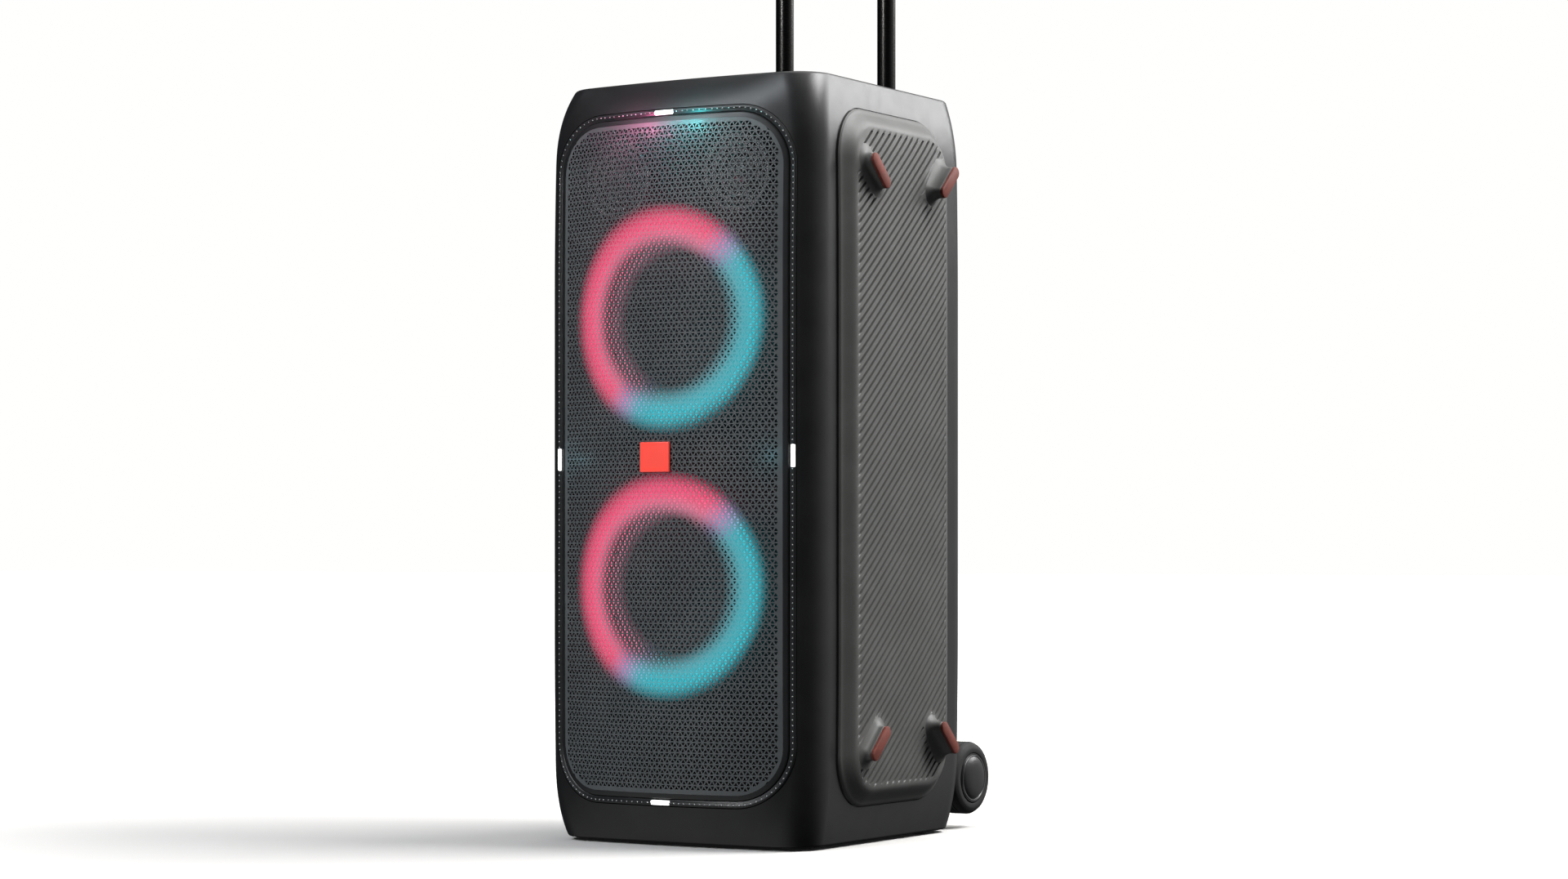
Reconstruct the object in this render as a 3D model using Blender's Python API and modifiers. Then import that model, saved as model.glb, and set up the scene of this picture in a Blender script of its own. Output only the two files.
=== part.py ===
"""A tall party speaker on two wheels with a telescopic handle.

Metres, +Z up. The grille faces -Y and +X is on the right of someone who looks at it. Everything is laid out
in cabinet coordinates, symmetric about x = 0, and hangs from one empty that centres the whole on the origin.
The handle is pulled out.
"""

from math import atan, cos, pi, radians, sin

import bmesh
import bpy
from mathutils import Matrix, Vector

# Cabinet, outside.
HEIGHT = 0.687
HALF_WIDTH = 0.147
FRONT_Y = -0.160
REAR_Y = 0.162
FOOT_HEIGHT = 0.003
WALL = 0.004
BULGE = 0.030
END_BULGE = 0.008
FRONT_CORNER = 0.034
REAR_CORNER = 0.030
REAR_TAPER = 0.011

# How far the cabinet draws in at its two ends, and over what height.
SIDE_DRAW = 0.012
FRONT_DRAW_TOP = 0.038
FRONT_DRAW_BOTTOM = 0.026
REAR_DRAW = 0.003
NEAR_REACH = 0.070
FAR_REACH = 0.190
EDGE_ROUND = 0.002

# Clearances: between touching pieces, of sliding pieces, and under the side panels.
GAP = 0.0003
SLIP = 0.0004
SKIN_GAP = 0.0010

# Front: bezel, grille, badge and the four strobe lenses.
BEZEL_SIDE_MARGIN = 0.017
BEZEL_BOTTOM_MARGIN = 0.034
BEZEL_TOP_MARGIN = 0.029
BEZEL_CORNER = 0.055
BEZEL_BAND = 0.0065
BEZEL_DEPTH = 0.008
GRILLE_SET_BACK = 0.0008
GRILLE_THICKNESS = 0.0016
BADGE_WIDTH = 0.031
BADGE_HEIGHT = 0.0265
BADGE_THICKNESS = 0.0022
STROBE_LENGTH = 0.020
STROBE_WIDTH = 0.0040
STROBE_DEPTH = 0.0030
STROBE_STANDS_OUT = 0.0006

# Baffle.
BAFFLE_SET_BACK = 0.012
BAFFLE_THICKNESS = 0.012
BAFFLE_SIDE_MARGIN = 0.027
BAFFLE_END_MARGIN = 0.025

# Woofers, as large as their light rings and the front's width leave room for.
CONE_DEPTH = 0.020
CONE_STANDS_OUT = 0.0012
CONE_FORMER = 0.018
DUST_CAP_RISE = 0.008
COIL_RADIUS = 0.018
COIL_CLEARANCE = 0.004
PAPER = 0.0012
SURROUND_WIDTH = 0.011
BASKET_WALL = 0.0025
BASKET_DEPTH = 0.048
FLANGE_WIDTH = 0.0095
FLANGE_THICKNESS = 0.003
MAGNET_RADIUS = 0.045
MAGNET_DEPTH = 0.034

# Light rings, which slope from a wide front rim down to the woofer's flange.
RING_SIDE_MARGIN = 0.0205
RING_MARGIN = 0.0027
RING_WIDTH = 0.0268
RING_STANDS_OUT = 0.020
RING_THICKNESS = 0.003

# Tweeters.
TWEETER_SIDE_MARGIN = 0.022
TWEETER_RADIUS = 0.037
TWEETER_THROAT = 0.0135
TWEETER_STANDS_OUT = 0.009
TWEETER_RIM = 0.003
TWEETER_LIP = 0.0015
TWEETER_DOME = 0.006
TWEETER_BODY_RADIUS = 0.026
TWEETER_BODY_DEPTH = 0.030
TWEETER_NEST = 0.0113

# How the free height in the grille is shared out: below the lower ring, and between the rings.
SHARE_BELOW_RINGS = 0.647
SHARE_BETWEEN_RINGS = 0.244

# Side panels, with four rubber feet on the right one for lying on that side.
PANEL_FRONT_MARGIN = 0.071
PANEL_REAR_MARGIN = 0.049
PANEL_BOTTOM_MARGIN = 0.033
PANEL_TOP_MARGIN = 0.028
PANEL_CORNER = 0.048
PANEL_EDGE = 0.0028
PANEL_BAND = 0.017
PANEL_RISE = 0.0085
PANEL_CROWN = 0.0020
SIDE_FOOT_LENGTH = 0.038
SIDE_FOOT_WIDTH = 0.011
SIDE_FOOT_THICKNESS = 0.003
SIDE_FOOT_INSET_Y = 0.0405
SIDE_FOOT_INSET_Z = 0.057
PEDESTAL_HEIGHT = 0.007
PEDESTAL_FLARE = 0.007
PEDESTAL_ROOT = 0.004

# Top: control panel and its buttons.
TOP_SIDE_MARGIN = 0.039
TOP_FRONT_MARGIN = 0.062
TOP_REAR_MARGIN = 0.028
TOP_CORNER = 0.022
TOP_PANEL_THICKNESS = 0.003
TOP_PANEL_SUNK = 0.0025
BUTTON_ROW_SETBACK = 0.048
BUTTON_END_MARGIN = 0.0305
BUTTON_HEIGHT = 0.0065
BUTTON_STANDS_OUT = 0.0020
SMALL_BUTTON_RADIUS = 0.0085
PLAY_BUTTON_RADIUS = 0.0125
BUTTONS = (
    "power_button",
    "bluetooth_button",
    "light_button",
    "volume_down_button",
    "play_button",
    "volume_up_button",
)

# Telescopic handle, pulled out. Its guides end just above the connection panel.
POLE_INSET = 0.022
POLE_X = 0.0575
POLE_RADIUS = 0.0087
POLE_LEFT_INSIDE = 0.085
GUIDE_WALL = 0.0013
GUIDE_END_MARGIN = 0.014
GUIDE_END_SPACE = 0.012
COLLAR_WIDTH = 0.0013
COLLAR_HEIGHT = 0.003
GRIP_OVERHANG = 0.0165
GRIP_DEPTH = 0.026
GRIP_HEIGHT = 0.024
GRIP_ROUND = 0.008
RELEASE_LENGTH = 0.034
RELEASE_WIDTH = 0.012
RELEASE_HEIGHT = 0.006
RELEASE_STANDS_OUT = 0.0035

# Wheels.
WHEEL_RADIUS = 0.0345
WHEEL_RAISED = 0.0135
WHEEL_CLEARANCE = 0.0015
WHEEL_SIDE_MARGIN = 0.0275
TYRE_WIDTH = 0.027
TYRE_SHOULDER = 0.006
TYRE_EDGE = 0.002
HUB_RADIUS = 0.0235
HUB_DOME = 0.0040
HUB_SKIN = 0.004
HUB_SET_BACK = 0.001
AXLE_RADIUS = 0.0040
CARRIER_HEIGHT = 0.030
CARRIER_WALL = 0.008
CARRIER_SIDE_GAP = 0.003

# Base feet.
FOOT_RADIUS = 0.014
FOOT_SIDE_MARGIN = 0.045
FOOT_FRONT_MARGIN = 0.074
FOOT_REAR_MARGIN = 0.050

# Rear: connection panel with its rubber cover and knobs, mains inlet and reflex port.
IO_HALF_WIDTH = 0.072
IO_BOTTOM = 0.142
IO_TOP = 0.244
IO_CORNER = 0.008
IO_THICKNESS = 0.011
IO_SUNK = 0.0030
COVER_WIDTH = 0.104
COVER_HEIGHT = 0.028
COVER_THICKNESS = 0.0022
COVER_BOTTOM = 0.152
KNOB_RADIUS = 0.0095
KNOB_HEIGHT = 0.009
KNOB_X = 0.030
KNOB_Z = 0.214
INLET_WIDTH = 0.034
INLET_HEIGHT = 0.024
INLET_DEPTH = 0.022
INLET_Z = 0.106
INLET_WALL = 0.003
INLET_SUNK = 0.001
PORT_TOP_MARGIN = 0.127
PORT_RADIUS = 0.030
PORT_WALL = 0.003
PORT_FLARE = 0.008
PORT_LIP = 0.0025
PORT_THROAT = 0.012
PORT_LENGTH = 0.110

# Inside.
BATTERY_SIZE = (0.170, 0.070, 0.085)
BATTERY_REAR_MARGIN = 0.092
AMPLIFIER_SIZE = (0.078, 0.022, 0.120)
AMPLIFIER_REAR_MARGIN = 0.044

# Derived sizes and places that several pieces share.
BASE_Z = FOOT_HEIGHT
BEZEL_HALF_WIDTH = HALF_WIDTH - BEZEL_SIDE_MARGIN
BEZEL_BOTTOM = BASE_Z + BEZEL_BOTTOM_MARGIN
BEZEL_TOP = HEIGHT - BEZEL_TOP_MARGIN
BEZEL_CENTRE_Z = (BEZEL_BOTTOM + BEZEL_TOP) / 2
BEZEL_HALF_HEIGHT = (BEZEL_TOP - BEZEL_BOTTOM) / 2
BAFFLE_Y = FRONT_Y + BULGE + BAFFLE_SET_BACK
BAFFLE_HALF_WIDTH = HALF_WIDTH - BAFFLE_SIDE_MARGIN
RING_OUTER_RADIUS = BEZEL_HALF_WIDTH - BEZEL_BAND - RING_SIDE_MARGIN
RING_INNER_RADIUS = RING_OUTER_RADIUS - RING_WIDTH
BASKET_RADIUS = RING_INNER_RADIUS - RING_MARGIN
BASKET_INNER_RADIUS = BASKET_RADIUS - BASKET_WALL
FLANGE_RADIUS = BASKET_RADIUS + FLANGE_WIDTH
CONE_RADIUS = BASKET_INNER_RADIUS - SURROUND_WIDTH
TWEETER_X = BEZEL_HALF_WIDTH - BEZEL_BAND - TWEETER_SIDE_MARGIN - TWEETER_RADIUS
GRILLE_BOTTOM = BEZEL_BOTTOM + BEZEL_BAND
GRILLE_TOP = BEZEL_TOP - BEZEL_BAND
FREE_HEIGHT = GRILLE_TOP - GRILLE_BOTTOM - 4 * RING_OUTER_RADIUS - 2 * TWEETER_RADIUS + TWEETER_NEST
LOWER_WOOFER_Z = GRILLE_BOTTOM + SHARE_BELOW_RINGS * FREE_HEIGHT + RING_OUTER_RADIUS
UPPER_WOOFER_Z = LOWER_WOOFER_Z + 2 * RING_OUTER_RADIUS + SHARE_BETWEEN_RINGS * FREE_HEIGHT
TWEETER_Z = UPPER_WOOFER_Z + RING_OUTER_RADIUS - TWEETER_NEST + TWEETER_RADIUS
WOOFERS = {"lower": LOWER_WOOFER_Z, "upper": UPPER_WOOFER_Z}
SIDES = {"left": -1, "right": 1}
PANEL_FRONT_Y = FRONT_Y + PANEL_FRONT_MARGIN
PANEL_REAR_Y = REAR_Y - PANEL_REAR_MARGIN
PANEL_BOTTOM = BASE_Z + PANEL_BOTTOM_MARGIN
PANEL_TOP = HEIGHT - PANEL_TOP_MARGIN
PANEL_CENTRE_Y = (PANEL_FRONT_Y + PANEL_REAR_Y) / 2
PANEL_CENTRE_Z = (PANEL_BOTTOM + PANEL_TOP) / 2
PANEL_HALF_LENGTH = (PANEL_REAR_Y - PANEL_FRONT_Y) / 2
PANEL_HALF_HEIGHT = (PANEL_TOP - PANEL_BOTTOM) / 2
SIDE_FOOT_SEAT_X = HALF_WIDTH + PANEL_EDGE + PANEL_RISE + PEDESTAL_HEIGHT
POLE_Y = REAR_Y - POLE_INSET
TOP_HALF_WIDTH = HALF_WIDTH - TOP_SIDE_MARGIN
TOP_FRONT_Y = FRONT_Y + TOP_FRONT_MARGIN
TOP_REAR_Y = POLE_Y - TOP_REAR_MARGIN
TOP_PANEL_Z = HEIGHT - TOP_PANEL_SUNK
BUTTON_PITCH = 2 * (TOP_HALF_WIDTH - BUTTON_END_MARGIN) / (len(BUTTONS) - 1)
GUIDE_BOTTOM = IO_TOP + GUIDE_END_MARGIN
GUIDE_INNER_RADIUS = POLE_RADIUS + SLIP
GUIDE_OUTER_RADIUS = GUIDE_INNER_RADIUS + GUIDE_WALL
COLLAR_TOP = HEIGHT + GAP + COLLAR_HEIGHT
POLE_BOTTOM = HEIGHT - POLE_LEFT_INSIDE
HANDLE_TRAVEL = POLE_BOTTOM - GUIDE_BOTTOM - GUIDE_END_SPACE
GRIP_BOTTOM = COLLAR_TOP + HANDLE_TRAVEL + 2 * GAP
POLE_LENGTH = GRIP_BOTTOM - GAP - POLE_BOTTOM
WHEEL_HEIGHT = WHEEL_RADIUS + WHEEL_RAISED
WHEEL_Y = REAR_Y + WHEEL_CLEARANCE + WHEEL_RADIUS
WHEEL_OUTER_X = HALF_WIDTH - WHEEL_SIDE_MARGIN
WHEEL_INNER_X = WHEEL_OUTER_X - TYRE_WIDTH
PORT_Z = HEIGHT - PORT_TOP_MARGIN
IO_CENTRE_Z = (IO_TOP + IO_BOTTOM) / 2


def clear_scene():
    for obj in list(bpy.data.objects):
        bpy.data.objects.remove(obj)


def new_collection(name):
    collection = bpy.data.collections.new(name)
    bpy.context.scene.collection.children.link(collection)
    return collection


def new_material(name, colour, roughness, metallic=0.0):
    material = bpy.data.materials.new(name)
    material.use_nodes = True
    shader = material.node_tree.nodes["Principled BSDF"]
    shader.inputs["Base Color"].default_value = (*colour, 1.0)
    shader.inputs["Roughness"].default_value = roughness
    shader.inputs["Metallic"].default_value = metallic
    return material


clear_scene()
PARTS = new_collection("party_speaker")
CUTTERS = new_collection("cutters")
CENTRE = bpy.data.objects.new("speaker_centre", None)
PARTS.objects.link(CENTRE)

BLACK_PLASTIC = new_material("black_plastic", (0.018, 0.018, 0.019), 0.45)
PANEL_PLASTIC = new_material("panel_plastic", (0.030, 0.030, 0.030), 0.55)
GRILLE_METAL = new_material("grille_metal", (0.030, 0.032, 0.034), 0.40, 1.0)
ORANGE = new_material("orange_badge", (0.80, 0.12, 0.06), 0.40)
LENS = new_material("strobe_lens", (0.90, 0.90, 0.92), 0.15)
DIFFUSER = new_material("ring_diffuser", (0.85, 0.40, 0.60), 0.35)
PAPER_CONE = new_material("cone_paper", (0.020, 0.020, 0.022), 0.70)
RUBBER = new_material("black_rubber", (0.015, 0.015, 0.015), 0.85)
BROWN_RUBBER = new_material("brown_rubber", (0.26, 0.060, 0.040), 0.75)
STEEL = new_material("steel", (0.55, 0.55, 0.56), 0.35, 1.0)
ANODISED = new_material("black_anodised", (0.030, 0.030, 0.030), 0.25, 1.0)
BOARD_GREEN = new_material("board_green", (0.020, 0.120, 0.050), 0.50)
BATTERY_BLUE = new_material("battery_blue", (0.050, 0.090, 0.220), 0.45)


# Mesh helpers.

AXIS_TURNS = {
    "X": Matrix.Rotation(pi / 2, 3, "Y"),
    "Y": Matrix.Rotation(pi / 2, 3, "X"),
    "Z": Matrix.Identity(3),
}
FACINGS = {
    "+X": (0, pi / 2, 0),
    "-X": (0, -pi / 2, 0),
    "+Y": (-pi / 2, 0, 0),
    "-Y": (pi / 2, 0, 0),
    "+Z": (0, 0, 0),
}


def add_object(name, bm, material, collection=PARTS):
    """Turns a bmesh into an object that hangs from the centring empty."""
    bmesh.ops.recalc_face_normals(bm, faces=bm.faces)
    mesh = bpy.data.meshes.new(name)
    bm.to_mesh(mesh)
    bm.free()
    mesh.materials.append(material)
    mesh.shade_smooth()
    mesh.set_sharp_from_angle(angle=radians(35))
    obj = bpy.data.objects.new(name, mesh)
    collection.objects.link(obj)
    obj.parent = CENTRE
    if collection == CUTTERS:
        obj.hide_render = True
        obj.display_type = "WIRE"
    return obj


def box(name, size, centre, material, bevel=0.0, collection=PARTS):
    bm = bmesh.new()
    bmesh.ops.create_cube(bm, size=1.0)
    bmesh.ops.scale(bm, vec=Vector(size), verts=bm.verts)
    obj = add_object(name, bm, material, collection)
    obj.location = centre
    if bevel:
        modifier = obj.modifiers.new("rounded_edges", "BEVEL")
        modifier.width = bevel
        modifier.segments = 1
    return obj


def cylinder(name, radius, depth, centre, axis, material, sides=24, bevel=0.0, collection=PARTS):
    """A cylinder along X, Y or Z, centred on `centre`."""
    bm = bmesh.new()
    bmesh.ops.create_cone(bm, cap_ends=True, segments=sides, radius1=radius, radius2=radius, depth=depth)
    bmesh.ops.rotate(bm, cent=(0, 0, 0), matrix=AXIS_TURNS[axis], verts=bm.verts)
    obj = add_object(name, bm, material, collection)
    obj.location = centre
    if bevel:
        modifier = obj.modifiers.new("rounded_rims", "BEVEL")
        modifier.width = bevel
        modifier.segments = 1
        modifier.limit_method = "ANGLE"
    return obj


def drill(obj, radius, depth, centre, axis, sides=24):
    """Cuts a round hole, centred on `centre`."""
    name = f"hole_{len(CUTTERS.objects)}"
    cut(obj, cylinder(name, radius, depth, centre, axis, BLACK_PLASTIC, sides, collection=CUTTERS))


def cut_box(obj, size, centre, turn=(0, 0, 0)):
    """Cuts a box-shaped hole, centred on `centre`."""
    cutter = box(f"hole_{len(CUTTERS.objects)}", size, centre, BLACK_PLASTIC, collection=CUTTERS)
    cutter.rotation_euler = turn
    cut(obj, cutter)


def turned(name, profile, centre, facing, material, steps=24, closed=True):
    """Turns (radius, height) points about the object's Z axis, which `facing` then lays along X, Y or Z."""
    bm = bmesh.new()
    points = [bm.verts.new((radius, 0, height)) for radius, height in profile]
    for first, second in zip(points, points[1:]):
        bm.edges.new((first, second))
    if closed:
        bm.edges.new((points[-1], points[0]))
    mesh = bpy.data.meshes.new(name)
    bm.to_mesh(mesh)
    bm.free()
    mesh.materials.append(material)
    obj = bpy.data.objects.new(name, mesh)
    PARTS.objects.link(obj)
    obj.parent = CENTRE
    obj.location = centre
    obj.rotation_euler = FACINGS[facing]
    screw = obj.modifiers.new("turn", "SCREW")
    screw.steps = steps
    screw.render_steps = steps
    screw.use_merge_vertices = True
    screw.merge_threshold = 0.00001
    screw.use_normal_calculate = False
    return obj


def cut(obj, cutter, operation="DIFFERENCE"):
    modifier = obj.modifiers.new("cut_" + cutter.name, "BOOLEAN")
    modifier.operation = operation
    modifier.object = cutter


def rounded_rectangle(half_u, half_v, corner, steps=4):
    """The outline of a rounded rectangle about (0, 0), counter-clockwise, from the middle of its right side."""
    corners = [
        (half_u - corner, half_v - corner, 0),
        (corner - half_u, half_v - corner, 90),
        (corner - half_u, corner - half_v, 180),
        (half_u - corner, corner - half_v, 270),
    ]
    outline = [(half_u, 0.0)]
    for number, (u, v, start) in enumerate(corners):
        for step in range(steps + 1):
            angle = radians(start + 90 * step / steps)
            outline.append((u + corner * cos(angle), v + corner * sin(angle)))
        middle = [(0.0, half_v), (-half_u, 0.0), (0.0, -half_v), None][number]
        if middle:
            outline.append(middle)
    return outline


def stadium(length, width, steps=6):
    """The outline of a bar with round ends along U."""
    straight = (length - width) / 2
    ends = [(side, step) for side in (0, 1) for step in range(steps + 1)]
    return [
        (
            straight * (1 - 2 * side) + width / 2 * sin(pi * step / steps) * (1 - 2 * side),
            width / 2 * -cos(pi * step / steps) * (1 - 2 * side),
        )
        for side, step in ends
    ]


def loft(name, rings, material, collection=PARTS, loop=False):
    """Joins rings of the same number of points. An open row of rings is capped, and a loop joins last to first."""
    bm = bmesh.new()
    rows = [[bm.verts.new(point) for point in ring] for ring in rings]
    pairs = list(zip(rows, rows[1:]))
    if loop:
        pairs.append((rows[-1], rows[0]))
    for lower, upper in pairs:
        for here in range(len(lower)):
            after = (here + 1) % len(lower)
            bm.faces.new((lower[here], lower[after], upper[after], upper[here]))
    if not loop:
        bm.faces.new(reversed(rows[0]))
        bm.faces.new(rows[-1])
    return add_object(name, bm, material, collection)


def prism_y(name, outline, centre_x, centre_z, front, rear, collection=CUTTERS, material=BLACK_PLASTIC):
    """A straight prism along Y of an outline in X and Z."""
    rings = [[(centre_x + u, y, centre_z + v) for u, v in outline] for y in (front, rear)]
    return loft(name, rings, material, collection)


def dished(name, outline, shares, outer, inner, material):
    """A sheet between two surfaces over one outline, which the (share_u, share_v) rings carry to its middle."""
    bm = bmesh.new()
    sides = []
    for surface in (outer, inner):
        rows = [[bm.verts.new(surface(u * su, v * sv)) for u, v in outline] for su, sv in shares]
        middle = bm.verts.new(surface(0.0, 0.0))
        count = len(outline)
        for lower, upper in zip(rows, rows[1:]):
            for here in range(count):
                after = (here + 1) % count
                bm.faces.new((lower[here], lower[after], upper[after], upper[here]))
        for here in range(count):
            bm.faces.new((rows[-1][here], rows[-1][(here + 1) % count], middle))
        sides.append(rows[0])
    for here in range(len(outline)):
        after = (here + 1) % len(outline)
        bm.faces.new((sides[0][here], sides[0][after], sides[1][after], sides[1][here]))
    return add_object(name, bm, material)


# The cabinet's outside surface.


def end_share(z):
    """0 along the middle of the cabinet, rising to 1 at its top and bottom edges."""
    distance = max(0.0, min(z - BASE_Z, HEIGHT - z))
    near = max(0.0, 1 - distance / NEAR_REACH) ** 2.2
    far = max(0.0, 1 - distance / FAR_REACH) ** 2
    return 0.8 * near + 0.2 * far


def half_width(z):
    return HALF_WIDTH - SIDE_DRAW * end_share(z)


def front_middle(z):
    draw = FRONT_DRAW_TOP if z > HEIGHT / 2 else FRONT_DRAW_BOTTOM
    return FRONT_Y + draw * end_share(z)


def front_curve(x, z):
    """The y of the bulging front at x."""
    bulge = BULGE + (END_BULGE - BULGE) * end_share(z)
    return front_middle(z) + bulge * (x / BEZEL_HALF_WIDTH) ** 2


def front_angle(x, z):
    """How far the front has turned towards the side at x."""
    bulge = BULGE + (END_BULGE - BULGE) * end_share(z)
    return atan(2 * bulge * x / BEZEL_HALF_WIDTH**2)


def front_lean(z):
    """How far the front leans back at z."""
    step = 0.001
    return atan((front_middle(z + step) - front_middle(z - step)) / (2 * step))


def corner_start(z):
    """The x where the front passes into its corner, and the angle there."""
    x = half_width(z) - FRONT_CORNER / 2
    for _ in range(4):
        x = half_width(z) - FRONT_CORNER * (1 - sin(front_angle(x, z)))
    return x, front_angle(x, z)


def rear_y(z):
    return REAR_Y - REAR_DRAW * end_share(z)


def side_x(y, z):
    """The x of the right side at y, which tapers towards the rear."""
    x, angle = corner_start(z)
    start = front_curve(x, z) + FRONT_CORNER * cos(angle)
    end = rear_y(z) - REAR_CORNER
    share = min(1.0, max(0.0, (y - start) / (end - start)))
    return half_width(z) - REAR_TAPER * share


def half_section(z):
    """(x, y, normal_x, normal_y) along the right half of the section at z, from front to rear."""
    points = []
    start_x, start_angle = corner_start(z)
    for step in range(5):
        x = start_x * step / 5
        angle = front_angle(x, z)
        points.append((x, front_curve(x, z), sin(angle), -cos(angle)))
    centre_x = start_x - FRONT_CORNER * sin(start_angle)
    centre_y = front_curve(start_x, z) + FRONT_CORNER * cos(start_angle)
    for step in range(5):
        angle = start_angle + (pi / 2 - start_angle) * step / 4
        across, along = sin(angle), -cos(angle)
        points.append((centre_x + FRONT_CORNER * across, centre_y + FRONT_CORNER * along, across, along))
    corner_y = rear_y(z) - REAR_CORNER
    corner_x = half_width(z) - REAR_TAPER - REAR_CORNER
    middle_y = (centre_y + corner_y) / 2
    points.append((side_x(middle_y, z), middle_y, 1.0, 0.0))
    for step in range(5):
        angle = pi / 2 * step / 4
        across, along = cos(angle), sin(angle)
        points.append((corner_x + REAR_CORNER * across, corner_y + REAR_CORNER * along, across, along))
    points.append((0.0, rear_y(z), 0.0, 1.0))
    return points


def section(z, inset=0.0):
    """The whole section at z, moved in by `inset`, as a ring of points."""
    right = [(x - inset * nx, y - inset * ny) for x, y, nx, ny in half_section(z)]
    left = [(-x, y) for x, y in reversed(right[1:-1])]
    return [(x, y, z) for x, y in right + left]


def cabinet_levels(low, high):
    """Heights that are close together where the cabinet draws in."""
    steps = [share * FAR_REACH for share in (0.05, 0.13, 0.24, 0.42, 1.0)]
    return [low, *(low + s for s in steps), HEIGHT / 2, *(high - s for s in reversed(steps)), high]


# Sub-parts.


def make_cabinet():
    levels = cabinet_levels(BASE_Z + EDGE_ROUND, HEIGHT - EDGE_ROUND)
    rings = [section(z) for z in levels]
    rings.insert(0, [(x, y, BASE_Z) for x, y, _ in section(BASE_Z, EDGE_ROUND)])
    rings.append([(x, y, HEIGHT) for x, y, _ in section(HEIGHT, EDGE_ROUND)])
    shell = loft("cabinet_shell", rings, BLACK_PLASTIC)
    hollow_levels = cabinet_levels(BASE_Z + WALL, HEIGHT - WALL)
    cut(shell, loft("cabinet_hollow", [section(z, WALL) for z in hollow_levels], BLACK_PLASTIC, CUTTERS))

    front = rounded_rectangle(BEZEL_HALF_WIDTH + GAP, BEZEL_HALF_HEIGHT + GAP, BEZEL_CORNER + GAP)
    depth = (FRONT_Y - 0.02, BAFFLE_Y + BAFFLE_THICKNESS)
    cut(shell, prism_y("front_opening", front, 0, BEZEL_CENTRE_Z, *depth))

    half_length = (TOP_REAR_Y - TOP_FRONT_Y) / 2
    middle_y = (TOP_REAR_Y + TOP_FRONT_Y) / 2
    top = rounded_rectangle(TOP_HALF_WIDTH, half_length, TOP_CORNER)
    top_rings = [[(u, middle_y + v, z) for u, v in top] for z in (HEIGHT - 2 * WALL, HEIGHT + 0.01)]
    cut(shell, loft("top_opening", top_rings, BLACK_PLASTIC, CUTTERS))

    for side in SIDES.values():
        drill(shell, GUIDE_OUTER_RADIUS + GAP, 4 * WALL, (side * POLE_X, POLE_Y, HEIGHT), "Z")

    io = rounded_rectangle(IO_HALF_WIDTH + GAP, (IO_TOP - IO_BOTTOM) / 2 + GAP, IO_CORNER)
    cut(shell, prism_y("connection_opening", io, 0, IO_CENTRE_Z, REAR_Y - 3 * WALL, REAR_Y + 0.01))
    cut_box(shell, (INLET_WIDTH + 2 * GAP, 6 * WALL, INLET_HEIGHT + 2 * GAP), (0, REAR_Y, INLET_Z))
    drill(shell, PORT_RADIUS + PORT_WALL + GAP, 6 * WALL, (0, REAR_Y, PORT_Z), "Y")


def make_bezel_and_strobes():
    outer = rounded_rectangle(BEZEL_HALF_WIDTH, BEZEL_HALF_HEIGHT, BEZEL_CORNER)
    inner = rounded_rectangle(
        BEZEL_HALF_WIDTH - BEZEL_BAND, BEZEL_HALF_HEIGHT - BEZEL_BAND, BEZEL_CORNER - BEZEL_BAND
    )

    def ring(outline, depth):
        return [(u, front_curve(u, BEZEL_CENTRE_Z + v) + depth, BEZEL_CENTRE_Z + v) for u, v in outline]

    rings = [ring(outer, 0), ring(inner, 0), ring(inner, BEZEL_DEPTH), ring(outer, BEZEL_DEPTH)]
    bezel = loft("front_bezel", rings, BLACK_PLASTIC, loop=True)

    across = BEZEL_HALF_WIDTH - BEZEL_BAND / 2
    up = BEZEL_HALF_HEIGHT - BEZEL_BAND / 2
    flat = (STROBE_LENGTH, STROBE_DEPTH, STROBE_WIDTH)
    upright = (STROBE_WIDTH, STROBE_DEPTH, STROBE_LENGTH)
    places = {
        "top": (0, up, flat),
        "bottom": (0, -up, flat),
        "left": (-across, 0, upright),
        "right": (across, 0, upright),
    }
    for name, (x, v, size) in places.items():
        z = BEZEL_CENTRE_Z + v
        y = front_curve(x, z) + STROBE_DEPTH / 2 - STROBE_STANDS_OUT
        turn = (-front_lean(z), 0, front_angle(x, z))
        cut_box(bezel, [length + 2 * GAP for length in size], (x, y, z), turn)
        lens = box("strobe_lens_" + name, size, (x, y, z), LENS, bevel=0.0008)
        lens.rotation_euler = turn


def make_grille_and_badge():
    half_width_in = BEZEL_HALF_WIDTH - BEZEL_BAND - GAP
    half_height_in = BEZEL_HALF_HEIGHT - BEZEL_BAND - GAP
    outline = rounded_rectangle(half_width_in, half_height_in, BEZEL_CORNER - BEZEL_BAND - GAP)
    shares = [(1.0, 1.0), (0.86, 0.955), (0.70, 0.89), (0.52, 0.80), (0.34, 0.66), (0.16, 0.40)]

    def front(u, v):
        z = BEZEL_CENTRE_Z + v
        return (u, front_curve(u, z) + GRILLE_SET_BACK, z)

    def back(u, v):
        x, y, z = front(u, v)
        return (x, y + GRILLE_THICKNESS, z)

    dished("grille", outline, shares, front, back, GRILLE_METAL)
    badge_size = (BADGE_WIDTH, BADGE_THICKNESS, BADGE_HEIGHT)
    badge_y = front_middle(BEZEL_CENTRE_Z) + GRILLE_SET_BACK - GAP - BADGE_THICKNESS / 2
    box("badge", badge_size, (0, badge_y, BEZEL_CENTRE_Z), ORANGE, bevel=0.0006)


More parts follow.
